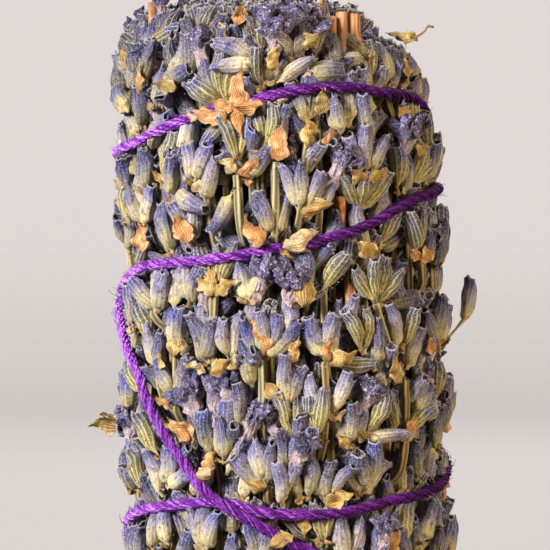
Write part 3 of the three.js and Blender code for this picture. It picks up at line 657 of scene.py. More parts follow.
# What can be told apart in the photograph, by its pixel: whorls with the leans of their cups in degrees and
# their shade, petals with their lean and size, and cups that show their mouth, with lean, tilt and shade.
PHOTO_WHORLS = [
    (138, 62, (-12, 8), VIOLET), (150, 44, (58,), OLIVE), (187, 82, (-10,), LILAC), (158, 84, (34,), VIOLET),
    (168, 84, (12,), CREAM), (140, 84, (-6, 5), VIOLET), (124, 112, (-26,), VIOLET),
    (150, 108, (10,), VIOLET), (220, 108, (-54, -32, -15, -2, 9), OLIVE), (262, 64, (-62, -78), CREAM),
    (297, 60, (-6, -25), VIOLET), (302, 44, (22,), LILAC), (274, 84, (58,), CREAM), (304, 80, (44,), VIOLET),
    (262, 90, (-12,), OLIVE), (342, 72, (-20,), LILAC), (372, 58, (-84,), LILAC), (355, 84, (-4,), CREAM),
    (375, 84, (-8, 10), OLIVE), (372, 56, (2,), LILAC), (396, 86, (-8, 8), LILAC),
    (418, 86, (-8, 10), VIOLET), (352, 126, (4,), LILAC), (374, 122, (-8,), VIOLET), (342, 136, (-8,), LILAC),
    (308, 124, (-12, 10), VIOLET), (262, 152, (-13, 14), OLIVE), (278, 158, (10,), VIOLET),
    (237, 162, (-12, 4), OLIVE), (232, 114, (-134,), OLIVE), (182, 162, (0,), CREAM),
    (158, 180, (13,), OLIVE), (192, 184, (-8, 26), CREAM), (170, 200, (6,), VIOLET),
    (245, 182, (32,), VIOLET), (140, 150, (40,), CREAM), (120, 192, (0, 12), VIOLET),
    (142, 192, (0,), VIOLET), (367, 178, (-38, -20, 0, 22), LILAC), (371, 142, (0,), VIOLET),
    (415, 148, (-4,), LILAC), (407, 192, (-6,), OLIVE), (421, 190, (14, 30), OLIVE), (437, 140, (8,), VIOLET),
    (432, 118, (4,), LILAC), (301, 213, (-18, 2, 20), LILAC), (365, 212, (-16, 8, 26), OLIVE),
    (202, 204, (12,), CREAM), (172, 190, (125,), CREAM), (232, 190, (-150,), VIOLET),
    (275, 238, (-18, 14), LILAC), (140, 228, (8, -12), CREAM), (163, 256, (-3,), VIOLET),
    (125, 225, (-4, 8), OLIVE), (186, 246, (6, -14), CREAM), (214, 291, (-22, -4, 16), OLIVE),
    (372, 252, (-6,), CREAM), (382, 246, (34,), OLIVE), (420, 256, (-20, 4), OLIVE), (440, 250, (5,), OLIVE),
    (155, 312, (-34, 4, 24), CREAM), (187, 306, (16, -6), CREAM), (172, 312, (2,), CREAM),
    (247, 303, (-12, 20), CREAM), (303, 296, (-4, -24), VIOLET), (322, 292, (34,), OLIVE),
    (378, 305, (-25, -5, 9, 27), OLIVE), (437, 345, (-17, 5), VIOLET), (128, 330, (-6, 6), CREAM),
    (150, 370, (-6, 10), LILAC), (176, 354, (6,), CREAM), (204, 364, (-10, 12), VIOLET),
    (228, 362, (2, 22), CREAM), (262, 360, (-22, -4, 16, 34), LILAC), (327, 362, (-20, 4), LILAC),
    (365, 354, (-20, 2), OLIVE), (400, 352, (-8,), LILAC), (405, 350, (14,), OLIVE), (384, 394, (0,), VIOLET),
    (381, 368, (-14,), VIOLET), (286, 408, (-4, 28), LILAC), (325, 418, (-28, 20), CREAM),
    (252, 390, (0,), VIOLET), (240, 428, (0,), VIOLET), (175, 401, (-18, 22), LILAC),
    (210, 458, (-6,), VIOLET), (222, 462, (4,), VIOLET), (292, 440, (-10, 8), OLIVE),
    (315, 440, (-8, 10), OLIVE), (349, 447, (-14, 6), LILAC), (367, 436, (22,), OLIVE),
    (400, 436, (-13,), OLIVE), (364, 440, (88,), CREAM), (406, 438, (34,), OLIVE), (416, 420, (20,), LILAC),
    (437, 404, (6,), OLIVE), (440, 450, (0,), VIOLET), (126, 415, (-5,), VIOLET), (153, 458, (-16,), OLIVE),
    (134, 492, (-13,), OLIVE), (152, 500, (-12,), CREAM), (158, 490, (5, 36), CREAM),
    (183, 500, (32,), VIOLET), (265, 486, (-35, -16, 0, 14), LILAC), (283, 508, (-10,), LILAC),
    (240, 504, (-4,), CREAM), (285, 476, (14, -8), VIOLET), (298, 504, (-4,), VIOLET),
    (312, 500, (-6,), VIOLET), (326, 503, (-18, 4, 36), LILAC), (367, 498, (-14, 24), CREAM),
    (372, 490, (-24, -4, 12), VIOLET), (427, 484, (0,), VIOLET), (410, 496, (-2,), VIOLET),
    (203, 552, (-18, -5, 12), LILAC), (165, 548, (-4,), CREAM), (150, 556, (0,), LILAC),
    (136, 568, (0, 6), VIOLET), (258, 568, (-8, 8), VIOLET), (325, 545, (-6, 10), OLIVE),
    (350, 568, (-8, 8), CREAM), (382, 566, (0,), VIOLET), (408, 548, (10,), OLIVE), (425, 545, (8,), LILAC),
    (437, 570, (4,), VIOLET)]
PHOTO_PETALS = [
    (262, 300, 25, 1.0), (283, 302, -5, 0.9), (205, 64, -10, 0.8), (200, 24, 50, 0.8), (272, 42, 10, 1.1),
    (290, 42, 20, 1.0), (250, 32, -30, 0.9), (282, 20, 0, 0.8), (330, 176, 25, 1.0), (403, 155, -18, 0.9),
    (372, 112, 10, 0.7), (180, 176, 10, 0.8), (183, 137, 5, 0.7), (145, 128, -10, 0.8), (198, 416, -12, 0.9),
    (212, 418, 4, 1.1), (228, 400, 8, 0.7), (240, 436, 22, 0.9), (237, 390, -4, 0.8), (355, 402, 0, 0.8),
    (378, 545, 5, 0.8), (296, 452, 12, 0.7), (272, 436, -4, 0.8), (320, 236, 20, 0.7), (430, 388, -15, 0.8),
    (127, 440, 0, 0.8), (140, 170, 5, 0.7), (298, 162, -5, 0.6), (201, 304, 0, 0.7)]
PHOTO_MOUTHS = [
    (150, 104, 10, 62, VIOLET), (255, 166, 10, 45, VIOLET), (252, 372, 0, 70, VIOLET),
    (390, 380, -10, 55, CREAM), (418, 408, 15, 50, CREAM), (348, 330, 5, 55, LILAC),
    (226, 448, 25, 60, VIOLET), (302, 442, -20, 50, VIOLET), (305, 460, 4, 60, VIOLET),
    (250, 536, 10, 55, LILAC), (305, 176, 4, 50, CREAM), (178, 474, 20, 50, VIOLET)]

draw = np.random.default_rng(CUP_SEED)
cups = {key: [] for key in ("owner", "grade", "anchor", "foot", "tip", "radius", "tone", "petal")}


def local_ways(angle):
    """The ways out, sideways and up at an angle round the bundle."""
    turn = math.radians(angle)
    return (np.array([math.sin(turn), -math.cos(turn), 0.0]), np.array([math.cos(turn), math.sin(turn), 0.0]),
            np.array([0.0, 0.0, 1.0]))


def fanned(angle, fan):
    """The way up, turned sideways by so many degrees, at an angle round the bundle."""
    _, side, up = local_ways(angle)
    return math.sin(math.radians(fan)) * side + math.cos(math.radians(fan)) * up


def put_down(lists, *values):
    """Notes one more cup or bract in the lists that hold their kind."""
    for noted, value in zip(lists.values(), values):
        noted.append(value)


def add_cup(owner, grade, stem_point, angle, fan, tilt, lift=0.0, tone=None, petal=0.0, length=CUP_LENGTH,
            out_step=0.0):
    """One cup on its short stalk. Fan is its turn sideways from upright and tilt its lean outward."""
    out, _, up = local_ways(angle)
    tilt = math.radians(tilt)
    way = math.cos(tilt) * fanned(angle, fan) + math.sin(tilt) * out
    stalk_way = way + out_step * out
    stalk_way /= np.linalg.norm(stalk_way)
    foot_point = stem_point + (0.55 + draw.uniform(0.2, 0.55)) * stalk_way + lift * up
    length = length * draw.uniform(0.86, 1.14)
    put_down(cups, owner, grade, stem_point + 0.25 * stalk_way, foot_point, foot_point + length * way,
             CUP_RADIUS * draw.uniform(0.86, 1.12),
             draw.uniform() if tone is None else tone + draw.uniform(-0.1, 0.08), petal)


def some_petal(chance, smallest, largest, allowed=True):
    """The size of the withered flower that a cup still holds, or 0 for most cups."""
    return draw.uniform(smallest, largest) if draw.uniform() < chance and allowed else 0.0


def point_at(line, height):
    """The point of a stem's middle line at a height."""
    return np.array([np.interp(height, line[:, 2], line[:, axis]) for axis in (0, 1)] + [height])


def crown_height(reach):
    """How high the rounded top of the bundle is at a distance from the axis."""
    dome = max(1 - ((reach + 1.2) / BUNDLE_RADIUS) ** 2, 0.02) ** (1 / 3)
    return SHOULDER_HEIGHT + (DOME_HEIGHT - 0.3) * dome


def shown_fan(lean, angle):
    """The turn sideways that looks like a lean in the photograph, where the bundle's side is seen aslant."""
    lean = math.radians(lean)
    return math.degrees(math.atan2(math.sin(lean), math.cos(lean) * max(math.cos(math.radians(angle)), 0.35)))


whorl_spots = []
for across, up, leans, shade in PHOTO_WHORLS:
    angle, height = seen_at(across, up)
    whorl_spots.append((lane_name(angle), angle, height))
    stalk = in_bundle(angle, height, 1.75)[0]
    for lean in leans:
        flat_lying = abs(lean) > 50
        add_cup(lane_name(angle), FULL, stalk, angle, shown_fan(lean + draw.uniform(-3, 3), angle),
                draw.uniform(-2, 4) if flat_lying else draw.uniform(0, 9), tone=shade,
                length=1.04 * CUP_LENGTH, out_step=0.15 if flat_lying else 0.3)
for across, up, lean, tilt, shade in PHOTO_MOUTHS:
    angle, height = seen_at(across, up)
    stalk = in_bundle(angle, height, 4.2)[0]
    add_cup(lane_name(angle), FULL, stalk, angle, shown_fan(lean, angle), tilt, tone=shade)
for across, up, lean, size in PHOTO_PETALS:
    angle, height = seen_at(across, up)
    fan = shown_fan(lean, angle)
    mouth = in_bundle(angle, height, 1.6)[0]
    way = fanned(angle, fan) + 0.15 * local_ways(angle)[0]
    add_cup(lane_name(angle), FULL, mouth - (CUP_LENGTH + 0.8) * way / np.linalg.norm(way), angle, fan, 9,
            petal=0.3 + size, tone=LILAC)
listed_count = len(cups["foot"])

for lane in range(OUTER_COUNT):
    name = f"outer_spike_{lane + 1:02d}"
    angle = FIRST_LANE + lane * LANE_TURN
    in_photo = from_front(angle) < FRONT_REACH
    at_edge = 55 < from_front(angle) < 125
    start = LOWEST_WHORL + (4.9 if lane % 2 else 0)
    for height in np.arange(start, 90, WHORL_PITCH):
        height = height + draw.uniform(-1.8, 1.8)
        if in_photo and height > PHOTO_FOOT:
            continue
        knot_point = point_at(surface_lines[lane], height)
        leaning = draw.normal(0, 9)
        whorl_spots.append((name, angle, height))
        count = int(draw.integers(3, 7))
        half = draw.uniform(24, 52)
        for k in range(count):
            fan = leaning - half + 2 * half * k / (count - 1) + draw.uniform(-12, 12)
            add_cup(name, FULL, knot_point, angle, fan, draw.uniform(2, 13), lift=draw.uniform(-0.3, 0.7),
                    out_step=0.5, petal=some_petal(0.08, 0.7, 1.0, not at_edge))
        for k in range(int(draw.integers(1, 4))):
            out = local_ways(angle)[0]
            add_cup(name, FULL, knot_point - 1.0 * out, angle, draw.uniform(-38, 38), draw.uniform(-2, 10),
                    lift=draw.uniform(0.6, 1.8), petal=some_petal(0.1, 0.7, 1.0))
    for turn in np.linspace(-150, 150, 6):
        add_cup(name, FULL, surface_lines[lane][-1], angle + turn, draw.uniform(-14, 14), draw.uniform(6, 24),
                lift=0.3, petal=some_petal(0.12, 0.6, 0.95, not at_edge))
    for number in range(2):
        behind = back_lines[2 * lane + number]
        back_angle = angle + (-5.6, 5.6)[number]
        height = 9 + draw.uniform(0, 6)
        while height < 84:
            for k in range(3):
                add_cup(name, PLAIN, point_at(behind, height), back_angle, draw.uniform(-60, 60),
                        draw.uniform(0, 18), lift=draw.uniform(-0.8, 0.8), out_step=0.3)
            height += draw.uniform(7.0, 9.0)
        for k in range(4):
            add_cup(name, FULL, behind[-1], back_angle + 90 * k + draw.uniform(-40, 40), draw.uniform(-24, 24),
                    draw.uniform(5, 48), lift=0.3)

taken = np.vstack([np.array(cups["foot"]) * (1 - t) + np.array(cups["tip"]) * t for t in (0.2, 0.55, 0.9)])
taken = np.vstack([taken, *shown_lines])
for up in np.arange(14, 91, 2.3):
    for turn in np.arange(-180, 180, 6.5):
        shown = abs(turn) < 78 and up > 32
        angle, height = turn + draw.uniform(-2.6, 2.6), up + draw.uniform(-0.9, 0.9)
        lean = draw.normal(0, 24) if draw.uniform() < 0.88 else draw.uniform(60, 300)
        depth = draw.uniform(1.9, 2.9)
        way = fanned(angle, lean)
        stalk = in_bundle(angle, height, depth)[0] - 0.8 * way
        own = stalk + np.array([1.2, 2.8, 4.4])[:, None] * way
        room = np.linalg.norm(own[:, None] - taken[None], axis=2).min(axis=1)
        if room.min() > 1.35 and room.max() > 1.75 and (shown or draw.uniform() < 0.6):
            add_cup(lane_name(angle), FULL, stalk, angle, lean, draw.uniform(0, 8),
                    tone=draw.choice([VIOLET, LILAC, CREAM, OLIVE], p=[0.34, 0.24, 0.24, 0.18]),
                    petal=some_petal(0.10, 0.8, 1.0) if abs(turn) < 55 else 0.0)
            taken = np.vstack([taken, own])

inner_sites = [(f"inner_spike_{g + 1:02d}", 45 * (g + 0.5) + shift, depth, 6.2)
               for g in range(8) for shift, depth in ((-11.2, 7.4), (0, 8.0), (11.2, 7.4))]
inner_sites += [(f"inner_spike_{g + 1:02d}", 45 * (g + 0.5) + shift, 12.4, 30)
                for g in range(8) for shift in (-9, 9)]
inner_sites += [("inner_spike_09", turn, 16.6, 60) for turn in (0, 120, 240)]
for name, angle, depth, pitch in inner_sites:
    reach = BUNDLE_RADIUS - depth
    crown = crown_height(reach) - CUP_LENGTH - 1.2
    crown -= float(low_side(reach * math.sin(math.radians(angle)), -reach * math.cos(math.radians(angle))))
    for level in np.arange(12 + draw.uniform(0, 5), crown - 8, pitch):
        spot = on_bundle(angle, level, reach / BUNDLE_RADIUS * outline(min(level, 88)))
        for k in range(4):
            add_cup(name, HIDDEN, spot, angle + draw.uniform(-70, 70), draw.uniform(-50, 50),
                    draw.uniform(10, 40))
    for drop, count in ((0, 5), (6.0, 3)):
        spot = on_bundle(angle, crown - drop + draw.uniform(-0.8, 0.8), reach)
        for k in range(count):
            add_cup(name, FULL, spot, angle + 360 * k / count + draw.uniform(-40, 40), draw.uniform(-24, 24),
                    draw.uniform(5, 55) + 0.9 * drop,
                    tone=draw.choice([VIOLET, LILAC, CREAM, OLIVE], p=[0.5, 0.2, 0.1, 0.2]),
                    petal=some_petal(0.07, 0.6, 0.95))

# Nothing but what the photograph shows stands before the woody ends, and few flowers are held at the crown.
mid_cup = (np.array(cups["foot"]) + np.array(cups["tip"])) / 2
by_the_wood = (abs(mid_cup[:, 0] - 5.9) < 1.3) & (mid_cup[:, 1] < -9) & (mid_cup[:, 2] > 89.5)
by_the_wood[:listed_count] = False
owner, grade, anchor, foot_at, tip_at, cup_radius, tone, petal_size = (
    np.array(values)[~by_the_wood] for values in cups.values())
petal_size[(tip_at[:, 2] > 92) & ((tip_at[:, 0] > 6) | (draw.uniform(size=len(tone)) < 0.4))] = 0
cup_length = np.linalg.norm(tip_at - foot_at, axis=1)
foot_rest = foot_at.copy()
tip_rest = tip_at.copy()


def near_pairs(flat, still, body):
    """Pairs of places that may press on each other, but for two places of one cup."""
    neighbours = KDTree(len(flat) + len(still))
    for i, p in enumerate(np.vstack([flat, still])):
        neighbours.insert(p, i)
    neighbours.balance()
    pairs = np.array([(i, j) for i, p in enumerate(flat)
                      for _, j, _ in neighbours.find_range(p, PUSH_REACH) if j > i])
    moving = pairs[:, 1] < len(flat)
    same = np.zeros(len(pairs), bool)
    same[moving] = body[pairs[moving, 0]] == body[pairs[moving, 1]]
    return pairs[~same]


def push_back(force, flat, radii):
    """Adds the push that brings what stands out past the sides, the top or the foot back to the bundle."""
    reach = flat[:, :2] - np.array([AXIS_X, AXIS_Y])
    reach[:, 0] -= sideways_shift(reach[:, 0], flat[:, 2])
    far = np.linalg.norm(reach, axis=1) + 1e-6
    sunk = low_side(reach[:, 0], reach[:, 1]) * smooth(flat[:, 2], 76, 92)
    limit = outline(np.clip(flat[:, 2] + sunk, 2, 100.5)) - radii + 0.15
    outside = np.maximum(far - limit, 0)
    force[:, 2] -= 0.6 * outside * smooth(flat[:, 2], 84, 90)
    force[:, :2] -= reach / far[:, None] * outside[:, None] * 0.8
    force[:, 2] -= np.maximum(flat[:, 2] + radii + sunk - 100.6, 0) * 0.8
    force[:, 2] += np.maximum(2.0 - flat[:, 2], 0)


def settle(foot_at, tip_at):
    """Pushes the cups apart where they are pressed into each other, the string or a stem."""
    shares = np.array([0.20, 0.55, 0.86])
    widths = np.array([0.74, 1.0, 0.86])
    string_points = np.vstack([line[::2] + 0.5 * outward_of(line)[0][::2]
                               for line in (string_climb, string_descent)])
    stem_points = np.vstack([*surface_lines, *shown_lines])
    still = np.vstack([string_points, stem_points])
    still_radius = np.repeat([STRING_ROOM, STEM_ROOM], [len(string_points), len(stem_points)])
    count = len(foot_at)
    for turn in range(RELAX_ROUNDS):
        centres = (foot_at[:, None] * (1 - shares)[None, :, None] + tip_at[:, None] * shares[None, :, None])
        flat = centres.reshape(-1, 3)
        radii = (cup_radius[:, None] * widths[None]).ravel()
        body = np.repeat(np.arange(count), 3)
        if turn % PAIRING_ROUNDS == 0:
            pairs = near_pairs(flat, still, body)
        everything = np.vstack([flat, still])
        every_radius = np.concatenate([radii, still_radius])
        gap = everything[pairs[:, 0]] - everything[pairs[:, 1]]
        distance = np.linalg.norm(gap, axis=1) + 1e-6
        press = np.maximum(every_radius[pairs[:, 0]] + every_radius[pairs[:, 1]] - distance, 0)
        push = gap / distance[:, None] * press[:, None]
        held = pairs[:, 1] >= len(flat)
        push[~held] *= 0.5
        force = np.zeros_like(flat)
        np.add.at(force, pairs[:, 0], push)
        np.add.at(force, pairs[~held, 1], -push[~held])
        force *= 0.55
        push_back(force, flat, radii)
        force = force.reshape(-1, 3, 3)
        foot_at = foot_at + (force * (1 - shares)[None, :, None]).sum(axis=1) * 0.7
        tip_at = tip_at + (force * shares[None, :, None]).sum(axis=1) * 0.7
        foot_at += FOOT_HOLD * (foot_rest - foot_at)
        tip_at += TIP_HOLD * (tip_rest - tip_at)
        way = tip_at - foot_at
        tip_at = foot_at + way * (cup_length / np.linalg.norm(way, axis=1))[:, None]
    return foot_at, tip_at


foot_at, tip_at = settle(foot_at, tip_at)
bloom = tip_at + 1.7 * (tip_at - foot_at) / cup_length[:, None]
string_near = np.vstack([string_climb[::3], string_descent[::3]])
on_string = np.array([petal > 0 and np.linalg.norm(string_near - place, axis=1).min() < BLOOM_RADIUS
                      for petal, place in zip(petal_size, bloom)])
petal_size[on_string] = 0
# The lone cup that sticks out at the right on a stalk of its own.
LONE_CUP = [(20.3, -1.6, 57.8), (22.25, -1.4, 60.2), (23.0, -1.3, 65.2)]
lone_anchor, lone_foot, lone_tip = np.array(LONE_CUP)
owner, grade, cup_radius, tone, petal_size = (np.append(values, value) for values, value in (
    (owner, "outer_spike_05"), (grade, FULL), (cup_radius, 0.82), (tone, LILAC), (petal_size, 0.0)))
anchor, foot_at, tip_at = (np.vstack([points, point]) for points, point in (
    (anchor, lone_anchor), (foot_at, lone_foot), (tip_at, lone_tip)))

MOUTH_MARK = 1.3
CUP_SIDES = {FULL: 33, PLAIN: 22, HIDDEN: 10}
HAIRS_PER_CUP = 70
HAIR_LENGTH = 0.27
HAIR_WIDTH = 0.022
PLUMP_PROFILE = ([0, 0.03, 0.08, 0.16, 0.28, 0.45, 0.62, 0.78, 0.90, 1.0],
                 [0.40, 0.64, 0.83, 0.94, 1.0, 1.0, 0.98, 0.92, 0.83, 0.75])
SLENDER_PROFILE = ([0, 0.10, 0.25, 0.45, 0.62, 0.80, 0.92, 1.0],
                   [0.30, 0.56, 0.80, 0.97, 1.0, 0.95, 0.87, 0.80])
CUP_STEPS = {FULL: [0, 0.04, 0.10, 0.18, 0.30, 0.44, 0.58, 0.70, 0.80, 0.88, 0.94, 1.0],
             PLAIN: [0, 0.05, 0.15, 0.34, 0.54, 0.74, 0.9, 1.0],
             HIDDEN: [0, 0.15, 0.5, 0.85, 1.0]}


def cross_ways(way, draw):
    """Two directions square to each cup's own, turned at random."""
    helper = np.where(np.abs(way[:, 2:3]) > 0.9, np.array([[1.0, 0, 0]]), np.array([[0, 0, 1.0]]))
    across = np.cross(way, helper)
    across /= np.linalg.norm(across, axis=1)[:, None]
    other = np.cross(way, across)
    roll = draw.uniform(0, 2 * math.pi, len(way))[:, None]
    return np.cos(roll) * across + np.sin(roll) * other, -np.sin(roll) * across + np.cos(roll) * other


def many_alike(rings, ends, rows, sides, marks):
    """Faces for many tubes of one layout, given as rings for each and the two end points of each."""
    count = len(rings)
    points = np.concatenate([rings.reshape(count, -1, 3), ends], axis=1)
    quads, tris = tube_faces(rows, sides)
    shift = (np.arange(count) * points.shape[1])[:, None, None]
    quads, tris = (quads[None] + shift).reshape(-1, 4), (tris[None] + shift).reshape(-1, 3)
    return points.reshape(-1, 3), quads, tris, marks


def each(values):
    """One value for each cup, petal or bract, ready to meet its rings and sides."""
    return values[..., None, None]


def laid_out(starts, *moves):
    """Rings of points for many pieces, moved from each one's start by distances along its own ways."""
    rings = starts[:, None, None]
    for distance, way in moves:
        rings = rings + distance[..., None] * way[:, None, None]
    return rings


def crumple(points, size, strength, draw):
    """Moves points by a random uneven field with wrinkles of about that size."""
    moved = np.zeros_like(points)
    for octave in range(3):
        wave = draw.normal(size=(3, 3)) * (2.2 * 1.7 ** octave / size)
        start = draw.uniform(0, 6, 3)
        moved += np.sin(points @ wave + start) * (strength / 1.5 ** octave)
    return points + moved


def cup_meshes(chosen, level, draw):
    """All the chosen cups as one mesh: a stalk, the ribbed outside, the toothed rim and the hollow mouth."""
    sides = CUP_SIDES[level]
    steps = np.array(CUP_STEPS[level])
    count = len(chosen)
    way = tip_at[chosen] - foot_at[chosen]
    length = np.linalg.norm(way, axis=1)
    way = way / length[:, None]
    u, v = cross_ways(way, draw)
    around = np.linspace(0, 2 * math.pi, sides, endpoint=False)
    mouth_steps = np.array([0.985, 0.90, 0.80])
    mouth_share = np.array([0.70, 0.50, 0.30])
    all_steps = np.concatenate([steps, mouth_steps])
    slender = smooth(tone[chosen], 0.70, 0.88)[:, None]
    profile = np.interp(steps, *SLENDER_PROFILE) * slender + np.interp(steps, *PLUMP_PROFILE) * (1 - slender)
    profile = np.concatenate([profile, profile[:, -1:] * mouth_share], axis=1)
    outer = np.concatenate([np.ones(len(steps)), np.zeros(3)])
    ribs = np.cos(CUP_RIBS * around) if level < HIDDEN else np.zeros(sides)
    rib_height = 0.055 * np.sin(np.clip(all_steps * 1.05, 0, 1) * math.pi) ** 0.5 * outer
    slim = each(draw.uniform(-0.10, 0.10, count))
    pinched = draw.uniform(size=count) < 0.7
    pinch = each(np.where(pinched, draw.uniform(0.25, 0.70, count), draw.uniform(0, 0.15, count)))
    phase = each(draw.uniform(0, 2 * math.pi, (4, count)))
    dent = each(draw.uniform(0.02, 0.085, (2, count)))
    belly = each(draw.uniform(-0.10, 0.12, count))
    t = all_steps[None, :, None]
    a = around[None, None, :]
    wide = profile[:, :, None] * (1 + rib_height[None, :, None] * ribs[None, None, :])
    dimple = np.cos(3 * a + phase[1]) * np.sin(t * math.pi * 1.5 + phase[2])
    wide = wide * (1 + dent[0] * np.cos(2 * a + phase[0] + 2.2 * t) + dent[1] * dimple)
    wide = wide * (1 + belly * (t - 0.45))
    radius = each(cup_radius[chosen]) * wide
    closing = pinch * smooth(t, 0.62, 1.0)
    x = radius * np.cos(a) * (1 + slim) * (1 + 0.18 * closing)
    y = radius * np.sin(a) * (1 - slim) * (1 - closing)
    tooth = np.maximum(np.cos(2.5 * (a - phase[3])), 0) ** 1.5
    rim = smooth(all_steps, 0.9, 1.0)[None, :, None] * np.where(outer, 1.0, 0.55)[None, :, None]
    z = each(length) * t + 0.34 * tooth * rim * (level < HIDDEN)
    flare = 1 - 0.16 * tooth * rim
    sag = each(draw.uniform(-0.09, 0.09, (2, count)) * length[None])
    arch = 4 * t * (1 - t)
    x, y = x * flare + sag[0] * arch, y * flare + sag[1] * arch
    rings = laid_out(foot_at[chosen], (x, u), (y, v), (z, way))
    stalk = anchor[chosen][:, None, None] * np.array([1.0, 0.5])[None, :, None, None] \
        + foot_at[chosen][:, None, None] * np.array([0.0, 0.5])[None, :, None, None]
    stalk = stalk + 0.2 * (np.cos(a)[..., None] * u[:, None, None] + np.sin(a)[..., None] * v[:, None, None])
    rings = crumple(np.concatenate([stalk, rings], axis=1), 1.5, 0.075, draw)
    well = foot_at[chosen] + way * (length * 0.78)[:, None]
    along = np.concatenate([[-0.06, -0.02], steps, [1.1, 1.25, MOUTH_MARK]])
    along = np.concatenate([np.repeat(along, sides), [-0.06, MOUTH_MARK]])
    rib_mark = np.concatenate([np.tile(ribs, rings.shape[1]), [0, 0]])
    per_cup = len(along)
    # A cup's tint is a random tone, raised by one for the deeper cups and by up to 1.2 near the crown; the
    # felt finish paints the raised part darker, as painted shade.
    marks = {"along": np.tile(along, count), "rib": np.tile(rib_mark, count),
             "tone": np.repeat(tone[chosen], per_cup),
             "tint": np.repeat(draw.uniform(size=count) * (0.6 if level else 1) + (1.0 if level else 0)
                               + 1.2 * smooth(tip_at[chosen, 2], 88, 97), per_cup)}
    ends = np.stack([anchor[chosen], well], axis=1)
    return many_alike(rings, ends, rings.shape[1], sides, marks)


def cup_hairs(chosen, draw):
    """The short white hairs of the chosen cups, each a thin three-sided spike."""
    cup = np.repeat(chosen, HAIRS_PER_CUP)
    count = len(cup)
    way = tip_at[cup] - foot_at[cup]
    length = np.linalg.norm(way, axis=1)[:, None]
    way = way / length
    u, v = cross_ways(way, draw)
    along = draw.uniform(0.04, 1.0, (count, 1))
    skin = cup_radius[cup][:, None] * (np.interp(along, *PLUMP_PROFILE) - 0.06)
    root = foot_at[cup] + way * length * along + u * skin
    tip = root + HAIR_LENGTH * draw.uniform(0.5, 1.3, (count, 1)) * (
        u + draw.uniform(-0.5, 0.9, (count, 1)) * way + draw.normal(0, 0.35, (count, 1)) * v)
    corners = [root + HAIR_WIDTH * (math.cos(turn) * v + math.sin(turn) * way) for turn in (0.5, 2.6, 4.7)]
    points = np.stack([*corners, tip], axis=1).reshape(-1, 3)
    tris = np.array([(0, 1, 3), (1, 2, 3), (2, 0, 3), (2, 1, 0)])[None] + 4 * np.arange(count)[:, None, None]
    return points, np.zeros((0, 4), int), tris.reshape(-1, 3), {"hair": 1.0, "along": 0.2}


felt, tree = new_finish("felted flower cup")
up_cup, on_rib, cup_shade = marked("along"), marked("rib"), marked("tone")
tint_and_depth_shade, on_hair = marked("tint"), marked("hair")
uneven = between(mottle(480.0, 2.0), 0.3, 0.7, -0.13, 0.13)
ramp_place = reckon("MULTIPLY", reckon("ADD", up_cup, uneven), 1 / MOUTH_MARK)


def cup_colours(*stops):
    """The colours up a cup from its foot at 0 to its rim at 1, and down into its mouth, which the last stops
    paint near black as painted shade.
    """
    return ramp(ramp_place, *[(at / MOUTH_MARK, colour) for at, colour in stops])


# Each cup colour ends with two stops inside the mouth, near black: painted shade in the hollow.
violet_cup = cup_colours((0, (212, 195, 128)), (0.12, (188, 174, 110)), (0.30, (168, 158, 124)),
                         (0.50, (124, 121, 140)), (0.74, (80, 80, 126)), (0.95, (54, 52, 102)),
                         (1.06, (44, 36, 74)), (1.15, (14, 10, 18)))
cream_cup = cup_colours((0, (228, 210, 142)), (0.15, (218, 202, 146)), (0.40, (208, 197, 172)),
                        (0.70, (160, 152, 174)), (0.95, (100, 96, 146)),
                        (1.06, (74, 62, 86)), (1.15, (22, 14, 20)))
olive_cup = cup_colours((0, (202, 182, 90)), (0.15, (180, 162, 58)), (0.42, (168, 156, 68)),
                        (0.68, (130, 127, 104)), (0.95, (82, 83, 112)),
                        (1.06, (56, 50, 60)), (1.15, (18, 14, 18)))
cup_tone = over(between(cup_shade, 0.36, 0.60), violet_cup, cream_cup)
cup_tone = over(between(cup_shade, 0.70, 0.84), cup_tone, olive_cup)
bluer = reckon("MULTIPLY", between(mottle(260.0, 1.0), 0.56, 0.66, 0.0, 0.75), between(up_cup, 0.35, 0.75))
cup_tone = over(bluer, cup_tone, dye(42, 54, 156))
# Darker with the tint: a random tone, and painted shade on the deeper cups and on those at the crown.
cup_tone = over(between(tint_and_depth_shade, 0.0, 2.0), cup_tone, dye(132, 118, 124), "MULTIPLY")
# Painted shade on the lower half of the deeper cups and of the cups at the crown.
buried_shade = reckon("MULTIPLY", between(tint_and_depth_shade, 1.0, 1.8, 0.0, 0.85), between(up_cup, 0.65, 0.1))
cup_tone = over(buried_shade, cup_tone, dye(84, 72, 66), "MULTIPLY")
striped = between(cup_shade, 0.55, 0.9, 0.30, 1.0)
# Painted shade in the furrows between the ribs; the ridges paler, partly for their pale hairs and partly as
# painted highlight.
furrow = reckon("MULTIPLY", between(on_rib, -1.0, 0.3, 0.75, 0.0), striped)
crest_hair_and_highlight = reckon("MULTIPLY", between(on_rib, 0.35, 1.0, 0.0, 0.55), striped)
cup_tone = over(furrow, cup_tone, dye(96, 82, 76), "MULTIPLY")
cup_tone = over(crest_hair_and_highlight, cup_tone, dye(236, 232, 216))
wool = mottle(5600.0, 3.0, Roughness=0.75)
cup_tone = over(between(mottle(1500.0, 3.0), 0.54, 0.70, 0.0, 0.75), cup_tone, dye(110, 92, 88), "MULTIPLY")
cup_tone = over(between(wool, 0.52, 0.72, 0.0, 0.55), cup_tone, dye(226, 222, 228))
cup_tone = over(between(wool, 0.46, 0.30, 0.0, 0.7), cup_tone, dye(66, 54, 74), "MULTIPLY")
rim_line = reckon("MULTIPLY", between(up_cup, 0.95, 1.0, 0.0, 0.45), between(up_cup, 1.06, 1.01))
cup_tone = over(rim_line, cup_tone, dye(216, 210, 218))
cup_tone = over(on_hair, cup_tone, dye(226, 222, 226))
